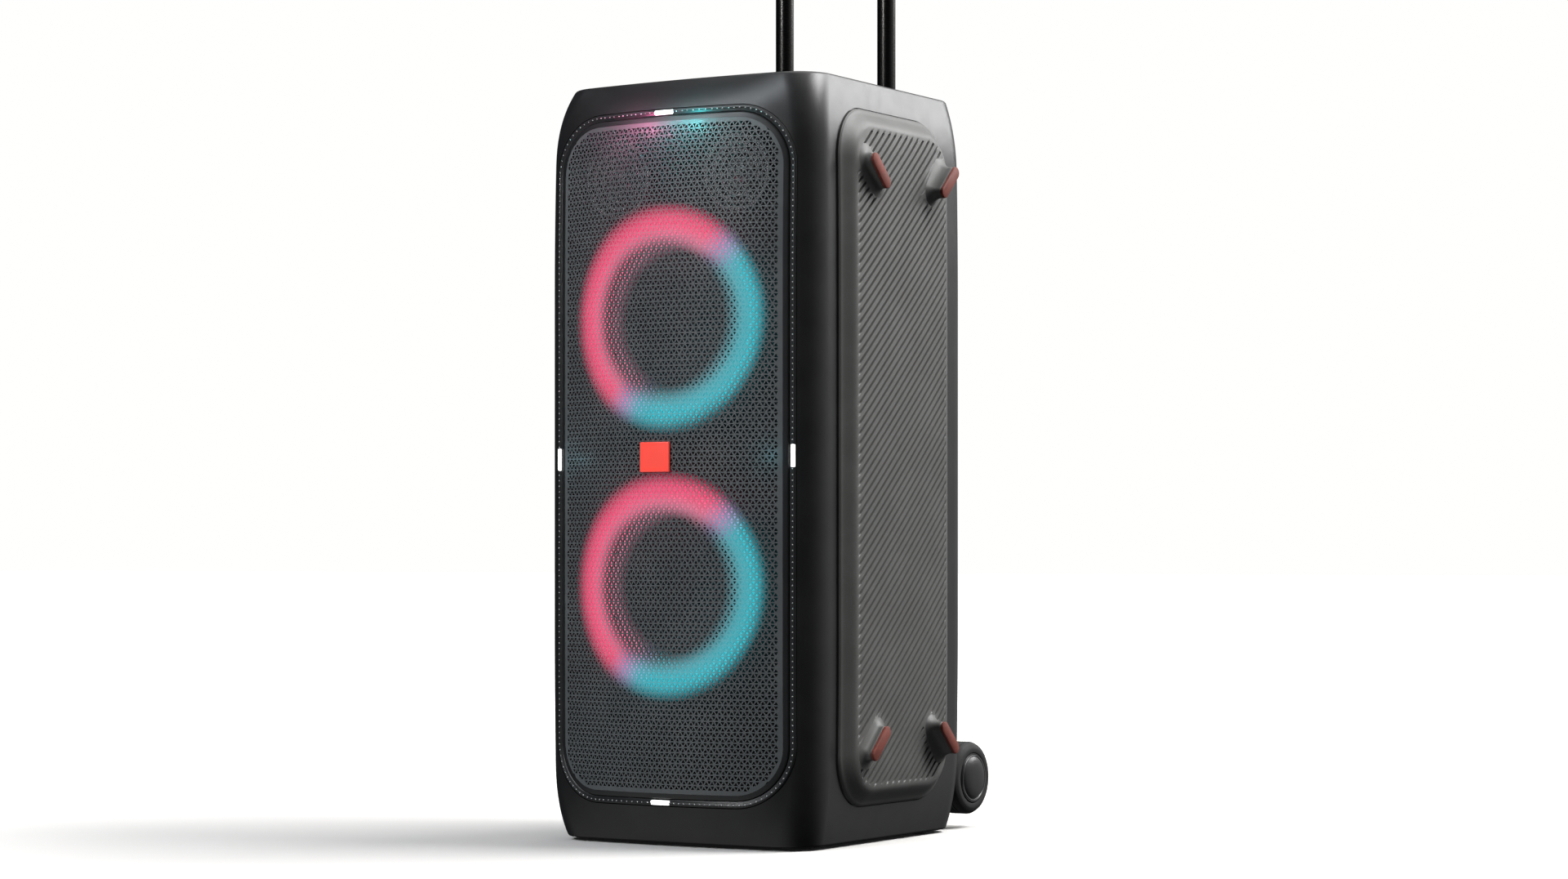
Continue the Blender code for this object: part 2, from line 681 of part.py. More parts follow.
def make_baffle():
    bottom = BASE_Z + BAFFLE_END_MARGIN
    top = HEIGHT - BAFFLE_END_MARGIN
    middle_y = BAFFLE_Y + BAFFLE_THICKNESS / 2
    size = (2 * BAFFLE_HALF_WIDTH, BAFFLE_THICKNESS, top - bottom)
    baffle = box("baffle", size, (0, middle_y, (top + bottom) / 2), BLACK_PLASTIC)
    for z in WOOFERS.values():
        drill(baffle, BASKET_RADIUS + GAP, 3 * BAFFLE_THICKNESS, (0, middle_y, z), "Y")
    for side in SIDES.values():
        place = (side * TWEETER_X, middle_y, TWEETER_Z)
        drill(baffle, TWEETER_BODY_RADIUS + GAP, 3 * BAFFLE_THICKNESS, place, "Y")


def make_woofer(name, z):
    """Heights in these profiles run towards -Y from the baffle's front face."""
    place = (0, BAFFLE_Y, z)
    flange_front = FLANGE_THICKNESS + GAP
    back = -BASKET_DEPTH
    frame = [
        (FLANGE_RADIUS, flange_front),
        (FLANGE_RADIUS, GAP),
        (BASKET_RADIUS, GAP),
        (BASKET_RADIUS, -BAFFLE_THICKNESS - BASKET_WALL),
        (MAGNET_RADIUS + 2 * BASKET_WALL, back),
        (COIL_RADIUS + COIL_CLEARANCE, back),
        (COIL_RADIUS + COIL_CLEARANCE, back + BASKET_WALL),
        (MAGNET_RADIUS + BASKET_WALL, back + BASKET_WALL),
        (BASKET_INNER_RADIUS, -BAFFLE_THICKNESS),
        (BASKET_INNER_RADIUS, flange_front),
    ]
    turned("woofer_frame_" + name, frame, place, "-Y", STEEL)
    magnet_y = BAFFLE_Y + BASKET_DEPTH + GAP + MAGNET_DEPTH / 2
    cylinder("woofer_magnet_" + name, MAGNET_RADIUS, MAGNET_DEPTH, (0, magnet_y, z), "Y", STEEL, 24, 0.002)

    rim = CONE_STANDS_OUT
    throat = rim - CONE_DEPTH
    former_end = throat - CONE_FORMER
    cap_radius = COIL_RADIUS * 0.55
    cone = [
        (0.0, throat + DUST_CAP_RISE),
        (cap_radius, throat + DUST_CAP_RISE * 0.75),
        (COIL_RADIUS, throat),
        (CONE_RADIUS, rim),
        (CONE_RADIUS, rim - PAPER),
        (COIL_RADIUS + PAPER, throat - 2 * PAPER),
        (COIL_RADIUS, former_end),
        (COIL_RADIUS - PAPER, former_end),
        (COIL_RADIUS - PAPER, throat - PAPER),
        (cap_radius, throat + DUST_CAP_RISE * 0.75 - PAPER),
        (0.0, throat + DUST_CAP_RISE - PAPER),
    ]
    turned("woofer_cone_" + name, cone, place, "-Y", PAPER_CONE, closed=False)

    roll_inner = CONE_RADIUS + GAP
    roll_outer = BASKET_INNER_RADIUS - GAP
    middle = (roll_inner + roll_outer) / 2
    reach = (roll_outer - roll_inner) / 2
    arc = [pi * step / 4 for step in range(5)]
    lift = 0.8 * reach
    outside = [(middle + reach * cos(a), rim + lift * sin(a)) for a in reversed(arc)]
    inside = [(middle + (reach - PAPER) * cos(a), rim - PAPER + lift * sin(a)) for a in arc]
    turned("woofer_surround_" + name, outside + inside, place, "-Y", RUBBER)


def make_light_ring(name, z):
    """A sloping diffuser, from its outer rim at the front down to the woofer's flange."""
    low = FLANGE_THICKNESS + 3 * GAP
    ring = [
        (RING_OUTER_RADIUS, RING_STANDS_OUT),
        (RING_OUTER_RADIUS, RING_STANDS_OUT - RING_THICKNESS),
        (RING_INNER_RADIUS + RING_THICKNESS, low),
        (RING_INNER_RADIUS, low),
        (RING_INNER_RADIUS, low + RING_THICKNESS / 2),
        (RING_OUTER_RADIUS - RING_THICKNESS, RING_STANDS_OUT),
    ]
    turned("light_ring_" + name, ring, (0, BAFFLE_Y, z), "-Y", DIFFUSER, steps=32)


def make_tweeter(side, name):
    place = (side * TWEETER_X, BAFFLE_Y, TWEETER_Z)
    throat_front = 2 * GAP + TWEETER_LIP
    horn = [
        (TWEETER_RADIUS, TWEETER_STANDS_OUT - TWEETER_RIM),
        (TWEETER_RADIUS, GAP),
        (TWEETER_BODY_RADIUS - TWEETER_RIM, GAP),
        (TWEETER_THROAT, 2 * GAP),
        (TWEETER_THROAT, throat_front),
        (TWEETER_RADIUS - 2 * TWEETER_RIM, TWEETER_STANDS_OUT),
        (TWEETER_RADIUS - TWEETER_RIM / 2, TWEETER_STANDS_OUT),
    ]
    turned("tweeter_horn_" + name, horn, place, "-Y", BLACK_PLASTIC)
    driver = [
        (0.0, TWEETER_DOME),
        (TWEETER_THROAT / 2, TWEETER_DOME * 0.75),
        (TWEETER_THROAT - TWEETER_RIM, -GAP),
        (TWEETER_BODY_RADIUS, -GAP),
        (TWEETER_BODY_RADIUS, -TWEETER_BODY_DEPTH),
        (0.0, -TWEETER_BODY_DEPTH),
    ]
    turned("tweeter_driver_" + name, driver, place, "-Y", STEEL, closed=False)


def panel_height(u, v):
    """How far the side panel stands off the cabinet's side, u along Y and v along Z from the panel's centre."""
    edge = min(PANEL_HALF_LENGTH - abs(u), PANEL_HALF_HEIGHT - abs(v))
    share = min(1.0, max(0.0, edge / PANEL_BAND))
    ease = share * share * (3 - 2 * share)
    crown = PANEL_CROWN * (1 - (u / PANEL_HALF_LENGTH) ** 2)
    return PANEL_EDGE + PANEL_RISE * ease + crown * ease


def side_foot_places():
    """(name, y, z, tilt) of the four corners; each foot points at the panel's middle."""
    for upper, up in (("upper", 1), ("lower", -1)):
        for end, along in (("front", -1), ("rear", 1)):
            u = along * (PANEL_HALF_LENGTH - SIDE_FOOT_INSET_Y)
            v = up * (PANEL_HALF_HEIGHT - SIDE_FOOT_INSET_Z)
            yield f"side_foot_{upper}_{end}", u, v, radians(45 * up * along)


def make_side_panels():
    outline = rounded_rectangle(PANEL_HALF_LENGTH, PANEL_HALF_HEIGHT, PANEL_CORNER)
    insets = [PANEL_BAND * share for share in (0, 0.25, 0.6, 1.0)]
    shares = [(1 - i / PANEL_HALF_LENGTH, 1 - i / PANEL_HALF_HEIGHT) for i in insets]
    shares += [(0.60, 0.80), (0.28, 0.45)]

    def surface(side, height):
        def place(u, v):
            y, z = PANEL_CENTRE_Y + u, PANEL_CENTRE_Z + v
            return (side * (side_x(y, z) + height(u, v)), y, z)

        return place

    for name, side in SIDES.items():
        outer = surface(side, panel_height)
        inner = surface(side, lambda u, v: SKIN_GAP)
        panel = dished("side_panel_" + name, outline, shares, outer, inner, PANEL_PLASTIC)
        if side < 0:
            continue
        for foot, u, v, tilt in side_foot_places():
            make_side_foot(panel, foot, u, v, tilt)


def make_side_foot(panel, name, u, v, tilt):
    """A pedestal that flares into the panel, and the rubber foot on it."""
    y, z = PANEL_CENTRE_Y + u, PANEL_CENTRE_Z + v
    base = side_x(y, z) + panel_height(u, v)
    top = SIDE_FOOT_SEAT_X

    def ring(length, width, x):
        points = stadium(length, width)
        return [(x, y + a * cos(tilt) - b * sin(tilt), z + a * sin(tilt) + b * cos(tilt)) for a, b in points]

    wide = 2 * PEDESTAL_FLARE
    slim = PEDESTAL_FLARE * 0.7
    rings = [
        ring(SIDE_FOOT_LENGTH + wide, SIDE_FOOT_WIDTH + wide, base - PEDESTAL_ROOT),
        ring(SIDE_FOOT_LENGTH + slim, SIDE_FOOT_WIDTH + slim, base + PEDESTAL_HEIGHT * 0.3),
        ring(SIDE_FOOT_LENGTH, SIDE_FOOT_WIDTH, top),
    ]
    cut(panel, loft("pedestal_" + name, rings, PANEL_PLASTIC, CUTTERS), "UNION")
    pad_rings = [
        ring(SIDE_FOOT_LENGTH, SIDE_FOOT_WIDTH, top + GAP),
        ring(SIDE_FOOT_LENGTH, SIDE_FOOT_WIDTH, top + SIDE_FOOT_THICKNESS),
    ]
    loft(name, pad_rings, BROWN_RUBBER)


def make_top():
    half_length = (TOP_REAR_Y - TOP_FRONT_Y) / 2 - SLIP
    middle_y = (TOP_REAR_Y + TOP_FRONT_Y) / 2
    outline = rounded_rectangle(TOP_HALF_WIDTH - SLIP, half_length, TOP_CORNER - SLIP)
    heights = (TOP_PANEL_Z - TOP_PANEL_THICKNESS, TOP_PANEL_Z)
    panel = loft("top_panel", [[(u, middle_y + v, z) for u, v in outline] for z in heights], PANEL_PLASTIC)
    row_y = TOP_FRONT_Y + BUTTON_ROW_SETBACK
    for number, name in enumerate(BUTTONS):
        x = BUTTON_PITCH * (number - (len(BUTTONS) - 1) / 2)
        radius = PLAY_BUTTON_RADIUS if name == "play_button" else SMALL_BUTTON_RADIUS
        drill(panel, radius + SLIP, 6 * TOP_PANEL_THICKNESS, (x, row_y, TOP_PANEL_Z), "Z", 20)
        place = (x, row_y, TOP_PANEL_Z + BUTTON_STANDS_OUT - BUTTON_HEIGHT / 2)
        cylinder(name, radius, BUTTON_HEIGHT, place, "Z", BLACK_PLASTIC, 20, 0.0006)


def make_handle():
    collar_radius = GUIDE_OUTER_RADIUS + COLLAR_WIDTH
    collar_bottom = HEIGHT + GAP
    guide = [
        (collar_radius, COLLAR_TOP),
        (collar_radius, collar_bottom),
        (GUIDE_OUTER_RADIUS, collar_bottom),
        (GUIDE_OUTER_RADIUS, GUIDE_BOTTOM),
        (GUIDE_INNER_RADIUS, GUIDE_BOTTOM),
        (GUIDE_INNER_RADIUS, COLLAR_TOP),
    ]
    for name, side in SIDES.items():
        turned("pole_guide_" + name, guide, (side * POLE_X, POLE_Y, 0), "+Z", BLACK_PLASTIC, steps=20)
        middle = (side * POLE_X, POLE_Y, POLE_BOTTOM + POLE_LENGTH / 2)
        cylinder("handle_pole_" + name, POLE_RADIUS, POLE_LENGTH, middle, "Z", ANODISED, 20)
    size = (2 * (POLE_X + GRIP_OVERHANG), GRIP_DEPTH, GRIP_HEIGHT)
    grip_z = GRIP_BOTTOM + GRIP_HEIGHT / 2
    grip = box("handle_grip", size, (0, POLE_Y, grip_z), BLACK_PLASTIC, bevel=GRIP_ROUND)
    well = (RELEASE_LENGTH + 2 * SLIP, RELEASE_WIDTH + 2 * SLIP, 2 * RELEASE_HEIGHT)
    grip_top = GRIP_BOTTOM + GRIP_HEIGHT
    cut_box(grip, well, (0, POLE_Y, grip_top))
    release = (RELEASE_LENGTH, RELEASE_WIDTH, RELEASE_HEIGHT)
    release_z = grip_top + RELEASE_STANDS_OUT - RELEASE_HEIGHT / 2
    box("release_button", release, (0, POLE_Y, release_z), BLACK_PLASTIC, bevel=0.0012)


def make_wheels():
    half = TYRE_WIDTH / 2
    tread = half - TYRE_SHOULDER
    tyre = [
        (WHEEL_RADIUS - TYRE_SHOULDER, half),
        (WHEEL_RADIUS - TYRE_EDGE, half - TYRE_EDGE),
        (WHEEL_RADIUS, tread),
        (WHEEL_RADIUS, -tread),
        (WHEEL_RADIUS - TYRE_EDGE, TYRE_EDGE - half),
        (WHEEL_RADIUS - TYRE_SHOULDER, -half),
        (HUB_RADIUS + GAP, -half),
        (HUB_RADIUS + GAP, half),
    ]
    bore = AXLE_RADIUS + GAP
    face = half - HUB_SET_BACK
    hub = [
        (0.0, half + HUB_DOME),
        (HUB_RADIUS * 0.5, half + HUB_DOME * 0.8),
        (HUB_RADIUS * 0.85, half + HUB_DOME * 0.25),
        (HUB_RADIUS, face),
        (HUB_RADIUS, -face),
        (bore, -face),
        (bore, half - HUB_SKIN),
        (0.0, half - HUB_SKIN),
    ]
    for name, side in SIDES.items():
        place = (side * (WHEEL_INNER_X + half), WHEEL_Y, WHEEL_HEIGHT)
        facing = "+X" if side > 0 else "-X"
        turned("wheel_tyre_" + name, tyre, place, facing, RUBBER)
        turned("wheel_hub_" + name, hub, place, facing, BLACK_PLASTIC, closed=False)
    axle_length = 2 * (WHEEL_OUTER_X - HUB_SKIN - GAP)
    cylinder("wheel_axle", AXLE_RADIUS, axle_length, (0, WHEEL_Y, WHEEL_HEIGHT), "X", STEEL, 16)
    make_axle_carrier()


def make_axle_carrier():
    """The moulded beam on the rear face that holds the axle."""
    front = REAR_Y + GAP
    length = 2 * (WHEEL_INNER_X - CARRIER_SIDE_GAP)
    rear = WHEEL_Y + AXLE_RADIUS + CARRIER_WALL
    size = (length, rear - front, CARRIER_HEIGHT)
    place = (0, (front + rear) / 2, WHEEL_HEIGHT)
    carrier = box("axle_carrier", size, place, BLACK_PLASTIC, bevel=0.004)
    drill(carrier, AXLE_RADIUS + GAP, length + 0.02, (0, WHEEL_Y, WHEEL_HEIGHT), "X", 16)


def make_base_feet():
    thickness = FOOT_HEIGHT - GAP
    ends = {"front": FRONT_Y + FOOT_FRONT_MARGIN, "rear": REAR_Y - FOOT_REAR_MARGIN}
    for end, y in ends.items():
        for name, side in SIDES.items():
            place = (side * (HALF_WIDTH - FOOT_SIDE_MARGIN), y, thickness / 2)
            cylinder(f"base_foot_{end}_{name}", FOOT_RADIUS, thickness, place, "Z", RUBBER)


def make_rear():
    face = rear_y(IO_CENTRE_Z) - IO_SUNK
    outline = rounded_rectangle(IO_HALF_WIDTH, (IO_TOP - IO_BOTTOM) / 2, IO_CORNER, 3)
    depth = (face - IO_THICKNESS, face)
    prism_y("connection_panel", outline, 0, IO_CENTRE_Z, *depth, PARTS, PANEL_PLASTIC)
    cover_place = (0, face + GAP + COVER_THICKNESS / 2, COVER_BOTTOM + COVER_HEIGHT / 2)
    box("port_cover", (COVER_WIDTH, COVER_THICKNESS, COVER_HEIGHT), cover_place, RUBBER, bevel=0.0008)
    for name, side in SIDES.items():
        place = (side * KNOB_X, face + GAP + KNOB_HEIGHT / 2, KNOB_Z)
        cylinder("gain_knob_" + name, KNOB_RADIUS, KNOB_HEIGHT, place, "Y", BLACK_PLASTIC, 20, 0.0008)

    inlet_y = REAR_Y - INLET_DEPTH / 2 - INLET_SUNK
    inlet = box("mains_inlet", (INLET_WIDTH, INLET_DEPTH, INLET_HEIGHT), (0, inlet_y, INLET_Z), BLACK_PLASTIC)
    socket = (INLET_WIDTH - 2 * INLET_WALL, INLET_DEPTH, INLET_HEIGHT - 2 * INLET_WALL)
    cut_box(inlet, socket, (0, inlet_y + INLET_WALL, INLET_Z))

    outer = PORT_RADIUS + PORT_WALL
    port = [
        (PORT_RADIUS + PORT_FLARE, PORT_LIP),
        (PORT_RADIUS + PORT_FLARE, 0.0),
        (outer, 0.0),
        (outer, -PORT_LENGTH),
        (PORT_RADIUS, -PORT_LENGTH),
        (PORT_RADIUS, -PORT_THROAT),
        (PORT_RADIUS + PORT_FLARE / 4, -PORT_THROAT / 3),
        (PORT_RADIUS + PORT_FLARE * 0.6, PORT_LIP),
    ]
    turned("reflex_port", port, (0, REAR_Y + GAP, PORT_Z), "+Y", BLACK_PLASTIC)


def make_inside():
    battery_z = BASE_Z + WALL + GAP + BATTERY_SIZE[2] / 2
    battery_place = (0, REAR_Y - BATTERY_REAR_MARGIN, battery_z)
    box("battery_pack", BATTERY_SIZE, battery_place, BATTERY_BLUE, bevel=0.003)
    board_place = (0, REAR_Y - AMPLIFIER_REAR_MARGIN, (IO_TOP + PORT_Z - PORT_RADIUS) / 2)
    box("amplifier_board", AMPLIFIER_SIZE, board_place, BOARD_GREEN, bevel=0.001)


def centre_on_origin():
    """Moves the whole so that the middle of its outer box stands over the origin."""
    bpy.context.view_layer.update()
    graph = bpy.context.evaluated_depsgraph_get()
    corners = []
    for obj in PARTS.objects:
        if obj.type == "MESH":
            solid = obj.evaluated_get(graph)
            corners += [solid.matrix_world @ Vector(corner) for corner in solid.bound_box]
    for axis in (0, 1):
        values = [corner[axis] for corner in corners]
        CENTRE.location[axis] = -(min(values) + max(values)) / 2


make_cabinet()
make_bezel_and_strobes()
make_grille_and_badge()
make_baffle()
for woofer, woofer_z in WOOFERS.items():
    make_woofer(woofer, woofer_z)
    make_light_ring(woofer, woofer_z)
for tweeter, tweeter_side in SIDES.items():
    make_tweeter(tweeter_side, tweeter)
make_side_panels()
make_top()
make_handle()
make_wheels()
make_base_feet()
make_rear()
make_inside()
centre_on_origin()
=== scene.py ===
"""Party speaker: the visual model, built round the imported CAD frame."""

from math import atan, copysign, cos, floor, hypot, pi, radians, sin, sqrt

import bmesh
import bpy
from mathutils import Euler, Matrix, Vector


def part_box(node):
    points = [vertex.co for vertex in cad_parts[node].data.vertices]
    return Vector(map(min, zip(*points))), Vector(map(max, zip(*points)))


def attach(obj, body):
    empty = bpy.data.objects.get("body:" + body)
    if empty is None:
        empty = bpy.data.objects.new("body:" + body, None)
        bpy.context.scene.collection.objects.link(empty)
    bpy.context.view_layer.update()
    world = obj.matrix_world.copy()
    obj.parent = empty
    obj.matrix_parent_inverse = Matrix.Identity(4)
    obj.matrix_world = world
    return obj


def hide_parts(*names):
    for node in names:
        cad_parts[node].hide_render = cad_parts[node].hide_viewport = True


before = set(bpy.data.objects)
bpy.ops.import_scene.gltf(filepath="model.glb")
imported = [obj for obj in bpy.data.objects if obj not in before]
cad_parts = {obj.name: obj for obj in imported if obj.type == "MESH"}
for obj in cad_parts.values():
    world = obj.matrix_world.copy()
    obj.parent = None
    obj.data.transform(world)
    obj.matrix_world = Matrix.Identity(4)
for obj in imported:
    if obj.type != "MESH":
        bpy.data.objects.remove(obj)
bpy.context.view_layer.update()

# The cabinet's surface, as the CAD has it, in metres.
HEIGHT = 0.687
BASE_Z = 0.003
HALF_WIDTH = 0.147
FRONT_Y = -0.160
REAR_Y = 0.162
WALL = 0.004
BULGE = 0.030
END_BULGE = 0.008
FRONT_CORNER = 0.034
REAR_CORNER = 0.030
REAR_TAPER = 0.011
SIDE_DRAW = 0.012
FRONT_DRAW_TOP = 0.038
FRONT_DRAW_BOTTOM = 0.026
REAR_DRAW = 0.003
NEAR_REACH = 0.070
FAR_REACH = 0.190
GAP = 0.0003

BEZEL_HALF_WIDTH = 0.130
BEZEL_BOTTOM = 0.037
BEZEL_TOP = 0.658
BEZEL_CORNER = 0.055
BEZEL_BAND = 0.0065
BEZEL_Z = (BEZEL_BOTTOM + BEZEL_TOP) / 2
BEZEL_HALF_HEIGHT = (BEZEL_TOP - BEZEL_BOTTOM) / 2
GRILLE_SET_BACK = 0.0008

PANEL_Y = 0.012
PANEL_Z = 0.3475
PANEL_HALF_LENGTH = 0.101
PANEL_HALF_HEIGHT = 0.3115
PANEL_CORNER = 0.048
PANEL_EDGE = 0.0028
PANEL_BAND = 0.017
PANEL_RISE = 0.0085
PANEL_CROWN = 0.0020

SIDES = {"left": -1, "right": 1}

shell_low, shell_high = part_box("cabinet_shell")
OFFSET = Vector(((shell_low[0] + shell_high[0]) / 2, shell_high[1] - REAR_Y, 0.0))


def local(node):
    """A CAD node's box in the cabinet's own coordinates: (low, high, middle)."""
    low, high = (Vector(corner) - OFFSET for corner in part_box(node))
    return low, high, (low + high) / 2


# Shader helpers.


class Nodes:
    """Adds nodes to a node tree, with their values and links."""

    def __init__(self, tree):
        self.tree = tree

    def give(self, socket, value):
        """Links the socket to a value that is another node's output, or else sets it."""
        if isinstance(value, bpy.types.NodeSocket):
            self.tree.links.new(value, socket)
        else:
            socket.default_value = value

    def node(self, kind, values=None, **settings):
        made = self.tree.nodes.new("ShaderNode" + kind)
        for key, value in settings.items():
            setattr(made, key, value)
        for key, value in (values or {}).items():
            self.give(made.inputs[key], value)
        return made

    def math(self, operation, *values):
        return self.node("Math", dict(enumerate(values)), operation=operation).outputs[0]

    def vector(self, operation, *values, output="Vector"):
        return self.node("VectorMath", dict(enumerate(values)), operation=operation).outputs[output]

    def remap(self, value, start, end, low=0.0, high=1.0, smooth=True):
        values = {"Value": value, "From Min": start, "From Max": end, "To Min": low, "To Max": high}
        kind = "SMOOTHSTEP" if smooth else "LINEAR"
        return self.node("MapRange", values, interpolation_type=kind).outputs["Result"]

    def mix(self, share, first, second):
        return self.node("Mix", {0: share, 6: first, 7: second}, data_type="RGBA").outputs[2]


class Shader(Nodes):
    """A node material under construction, with a Principled BSDF and object coordinates in metres."""

    def __init__(self, name):
        self.material = bpy.data.materials.new(name)
        self.material.use_nodes = True
        super().__init__(self.material.node_tree)
        self.bsdf = self.tree.nodes["Principled BSDF"]
        self.coord = self.node("TexCoord").outputs["Object"]

    def noise(self, scale, detail=3.0, roughness=0.5, vector=None):
        values = {"Vector": vector or self.coord, "Scale": scale, "Detail": detail, "Roughness": roughness}
        return self.node("TexNoise", values).outputs["Fac"]

    def set(self, **values):
        for key, value in values.items():
            self.give(self.bsdf.inputs[key.replace("_", " ")], value)

    def bump(self, height, distance):
        values = {"Height": height, "Distance": distance, "Strength": 1.0}
        self.set(Normal=self.node("Bump", values).outputs["Normal"])


def rgb(red, green, blue):
    """A display colour, 0 to 255, as the linear RGBA that a shader takes."""
    return (*(((c / 255 + 0.055) / 1.055) ** 2.4 if c > 10 else c / 3294 for c in (red, green, blue)), 1.0)


def moulded(name, colour, lighter, roughness, grain=0.00004, scale=1400, coat=0.0, glow=None):
    """Moulded plastic: a fine spark-eroded grain, handling marks that vary the gloss, and, where given, a
    painted glow.
    """
    shader = Shader(name)
    cloud = shader.noise(22, 4, 0.6)
    shader.set(Base_Color=shader.mix(shader.remap(cloud, 0.35, 0.7), colour, lighter))
    smear = shader.noise(60, 5, 0.65)
    shader.set(Roughness=shader.remap(smear, 0.3, 0.75, roughness - 0.015, roughness + 0.03))
    shader.bump(shader.noise(scale, 2, 0.6), grain)
    if coat:
        shader.set(Coat_Weight=coat, Coat_Roughness=0.2)
    # Painted glow: emission on a part that is no lamp, so it reads bright whatever light falls on it.
    if glow:
        shader.set(Emission_Color=glow, Emission_Strength=0.85)
    return shader.material


def rubber(name, colour, lighter, roughness=0.7):
    shader = Shader(name)
    dust = shader.noise(90, 5, 0.7)
    shader.set(Base_Color=shader.mix(shader.remap(dust, 0.4, 0.75), colour, lighter))
    shader.set(Roughness=shader.remap(dust, 0.3, 0.8, roughness - 0.06, roughness + 0.1))
    shader.bump(shader.noise(2200, 2, 0.7), 0.00005)
    return shader.material


def metal(name, colour, roughness, brushed=(1, 1, 40)):
    shader = Shader(name)
    stretch = shader.node("Mapping", {"Vector": shader.coord, "Scale": brushed}).outputs["Vector"]
    streak = shader.noise(300, 3, 0.6, stretch)
    shader.set(Base_Color=colour, Metallic=1.0)
    shader.set(Roughness=shader.remap(streak, 0.3, 0.7, roughness - 0.06, roughness + 0.06))
    shader.bump(streak, 0.00001)
    return shader.material


PINK = rgb(226, 72, 112)
PALE_PINK = rgb(244, 140, 172)
CYAN = rgb(40, 168, 180)
PALE_CYAN = rgb(96, 176, 188)
LAVENDER = rgb(150, 132, 176)
RING_INNER = 0.0762
RING_OUTER = 0.103
# The pink arc's middle, as (cos, sin) about the ring's centre, and where it gives way to cyan.
PINK_WAY = (cos(radians(143)), sin(radians(143)))
PINK_EDGE = -0.13


def ring_glow(shader, centre_z, shift=0.0):
    """(colour, radius from the ring's centre) for the light of one ring."""
    centre = (OFFSET.x + shift, 0.0, centre_z)
    away = shader.vector("SUBTRACT", shader.vector("MULTIPLY", shader.coord, (1, 0, 1)), centre)
    radius = shader.vector("LENGTH", away, output="Value")
    facing = shader.vector("DOT_PRODUCT", away, (PINK_WAY[0], 0, PINK_WAY[1]), output="Value")
    turn = shader.math("DIVIDE", facing, shader.math("MAXIMUM", radius, 0.001))
    share = shader.remap(turn, PINK_EDGE - 0.30, PINK_EDGE + 0.30, smooth=False)
    ramps = []
    for stops in ((PALE_CYAN, LAVENDER, PALE_PINK), (CYAN, LAVENDER, PINK)):
        ramp = shader.node("ValToRGB", {"Fac": share})
        ramp.color_ramp.elements.new(0.5)
        for element, position, colour in zip(ramp.color_ramp.elements, (0.15, 0.5, 0.85), stops):
            element.position = position
            element.color = colour
        ramps.append(ramp.outputs["Color"])
    outward = shader.remap(radius, RING_INNER - 0.012, RING_OUTER - 0.017)
    return shader.mix(outward, *ramps), radius


def diffuser(name, centre_z):
    """A milky diffuser, lit from behind by coloured LEDs."""
    shader = Shader(name)
    colour, radius = ring_glow(shader, centre_z)
    cloud = shader.remap(shader.noise(45, 3, 0.5), 0.3, 0.7, 0.9, 1.1)
    rim = shader.remap(radius, RING_INNER - 0.004, RING_INNER + 0.006, 0.7, 1.0)
    far = shader.remap(radius, RING_OUTER - 0.014, RING_OUTER - 0.001, 1.0, 0.06)
    strength = shader.math("MULTIPLY", shader.math("MULTIPLY", rim, far), cloud)
    shader.set(Base_Color=colour, Roughness=0.4, Emission_Color=colour)
    shader.set(Emission_Strength=shader.math("MULTIPLY", strength, 1.2))
    shader.bump(shader.noise(700, 2, 0.5), 0.00003)
    return shader.material


def grille_coat_painted_glow(name, centres):
    """Satin powder coat, with the rings' coloured light painted on its struts as emission in a band about
    each ring.
    """
    shader = Shader(name)
    speckle = shader.noise(2600, 3, 0.7)
    tone = shader.remap(shader.noise(16, 4, 0.6), 0.35, 0.7)
    shader.set(Base_Color=shader.mix(tone, (0.11, 0.12, 0.125, 1), (0.14, 0.15, 0.155, 1)))
    shader.set(Roughness=shader.remap(speckle, 0.3, 0.7, 0.40, 0.54))
    shader.bump(speckle, 0.00003)
    painted_ring_glow = None
    # Painted glow: each ring's colour is laid on the struts as emission by radius, standing in for the light
    # the ring throws on them.
    for centre_z in centres:
        colour, radius = ring_glow(shader, centre_z, 0.005)
        inner = shader.remap(radius, RING_INNER - 0.016, RING_INNER + 0.006)
        outer = shader.remap(radius, RING_OUTER - 0.018, RING_OUTER + 0.002, 1.0, 0.0)
        band = shader.math("MULTIPLY", inner, outer)
        lit = shader.mix(band, (0, 0, 0, 1), colour)
        painted_ring_glow = lit if painted_ring_glow is None else shader.vector("ADD", painted_ring_glow, lit)
    shader.set(Emission_Color=painted_ring_glow, Emission_Strength=0.78)
    return shader.material


def lit_edge(name, centre_z, base, roughness):
    """A dark moulding beside a light ring, with the ring's light painted on it as emission close to the ring.
    """
    shader = Shader(name)
    dust = shader.noise(400, 4, 0.6)
    colour, radius = ring_glow(shader, centre_z)
    rim = shader.remap(radius, 0.057, RING_INNER - 0.002, 0.0, 1.0)
    depth = shader.node("SeparateXYZ", {0: shader.coord}).outputs["Y"]
    face = OFFSET.y + BAFFLE_Y
    # Painted light: emission strongest near the ring and at the baffle's face, standing in for the ring's
    # spill onto the moulding.
    painted_ring_light = shader.math("MULTIPLY", rim, shader.remap(depth, face - 0.0005, face + 0.0015, 1.0, 0.0))
    shader.set(Base_Color=base, Emission_Color=colour, Emission_Strength=painted_ring_light)
    shader.set(Roughness=shader.remap(dust, 0.3, 0.7, roughness - 0.05, roughness + 0.08))
    shader.bump(dust, 0.00004)
    return shader.material


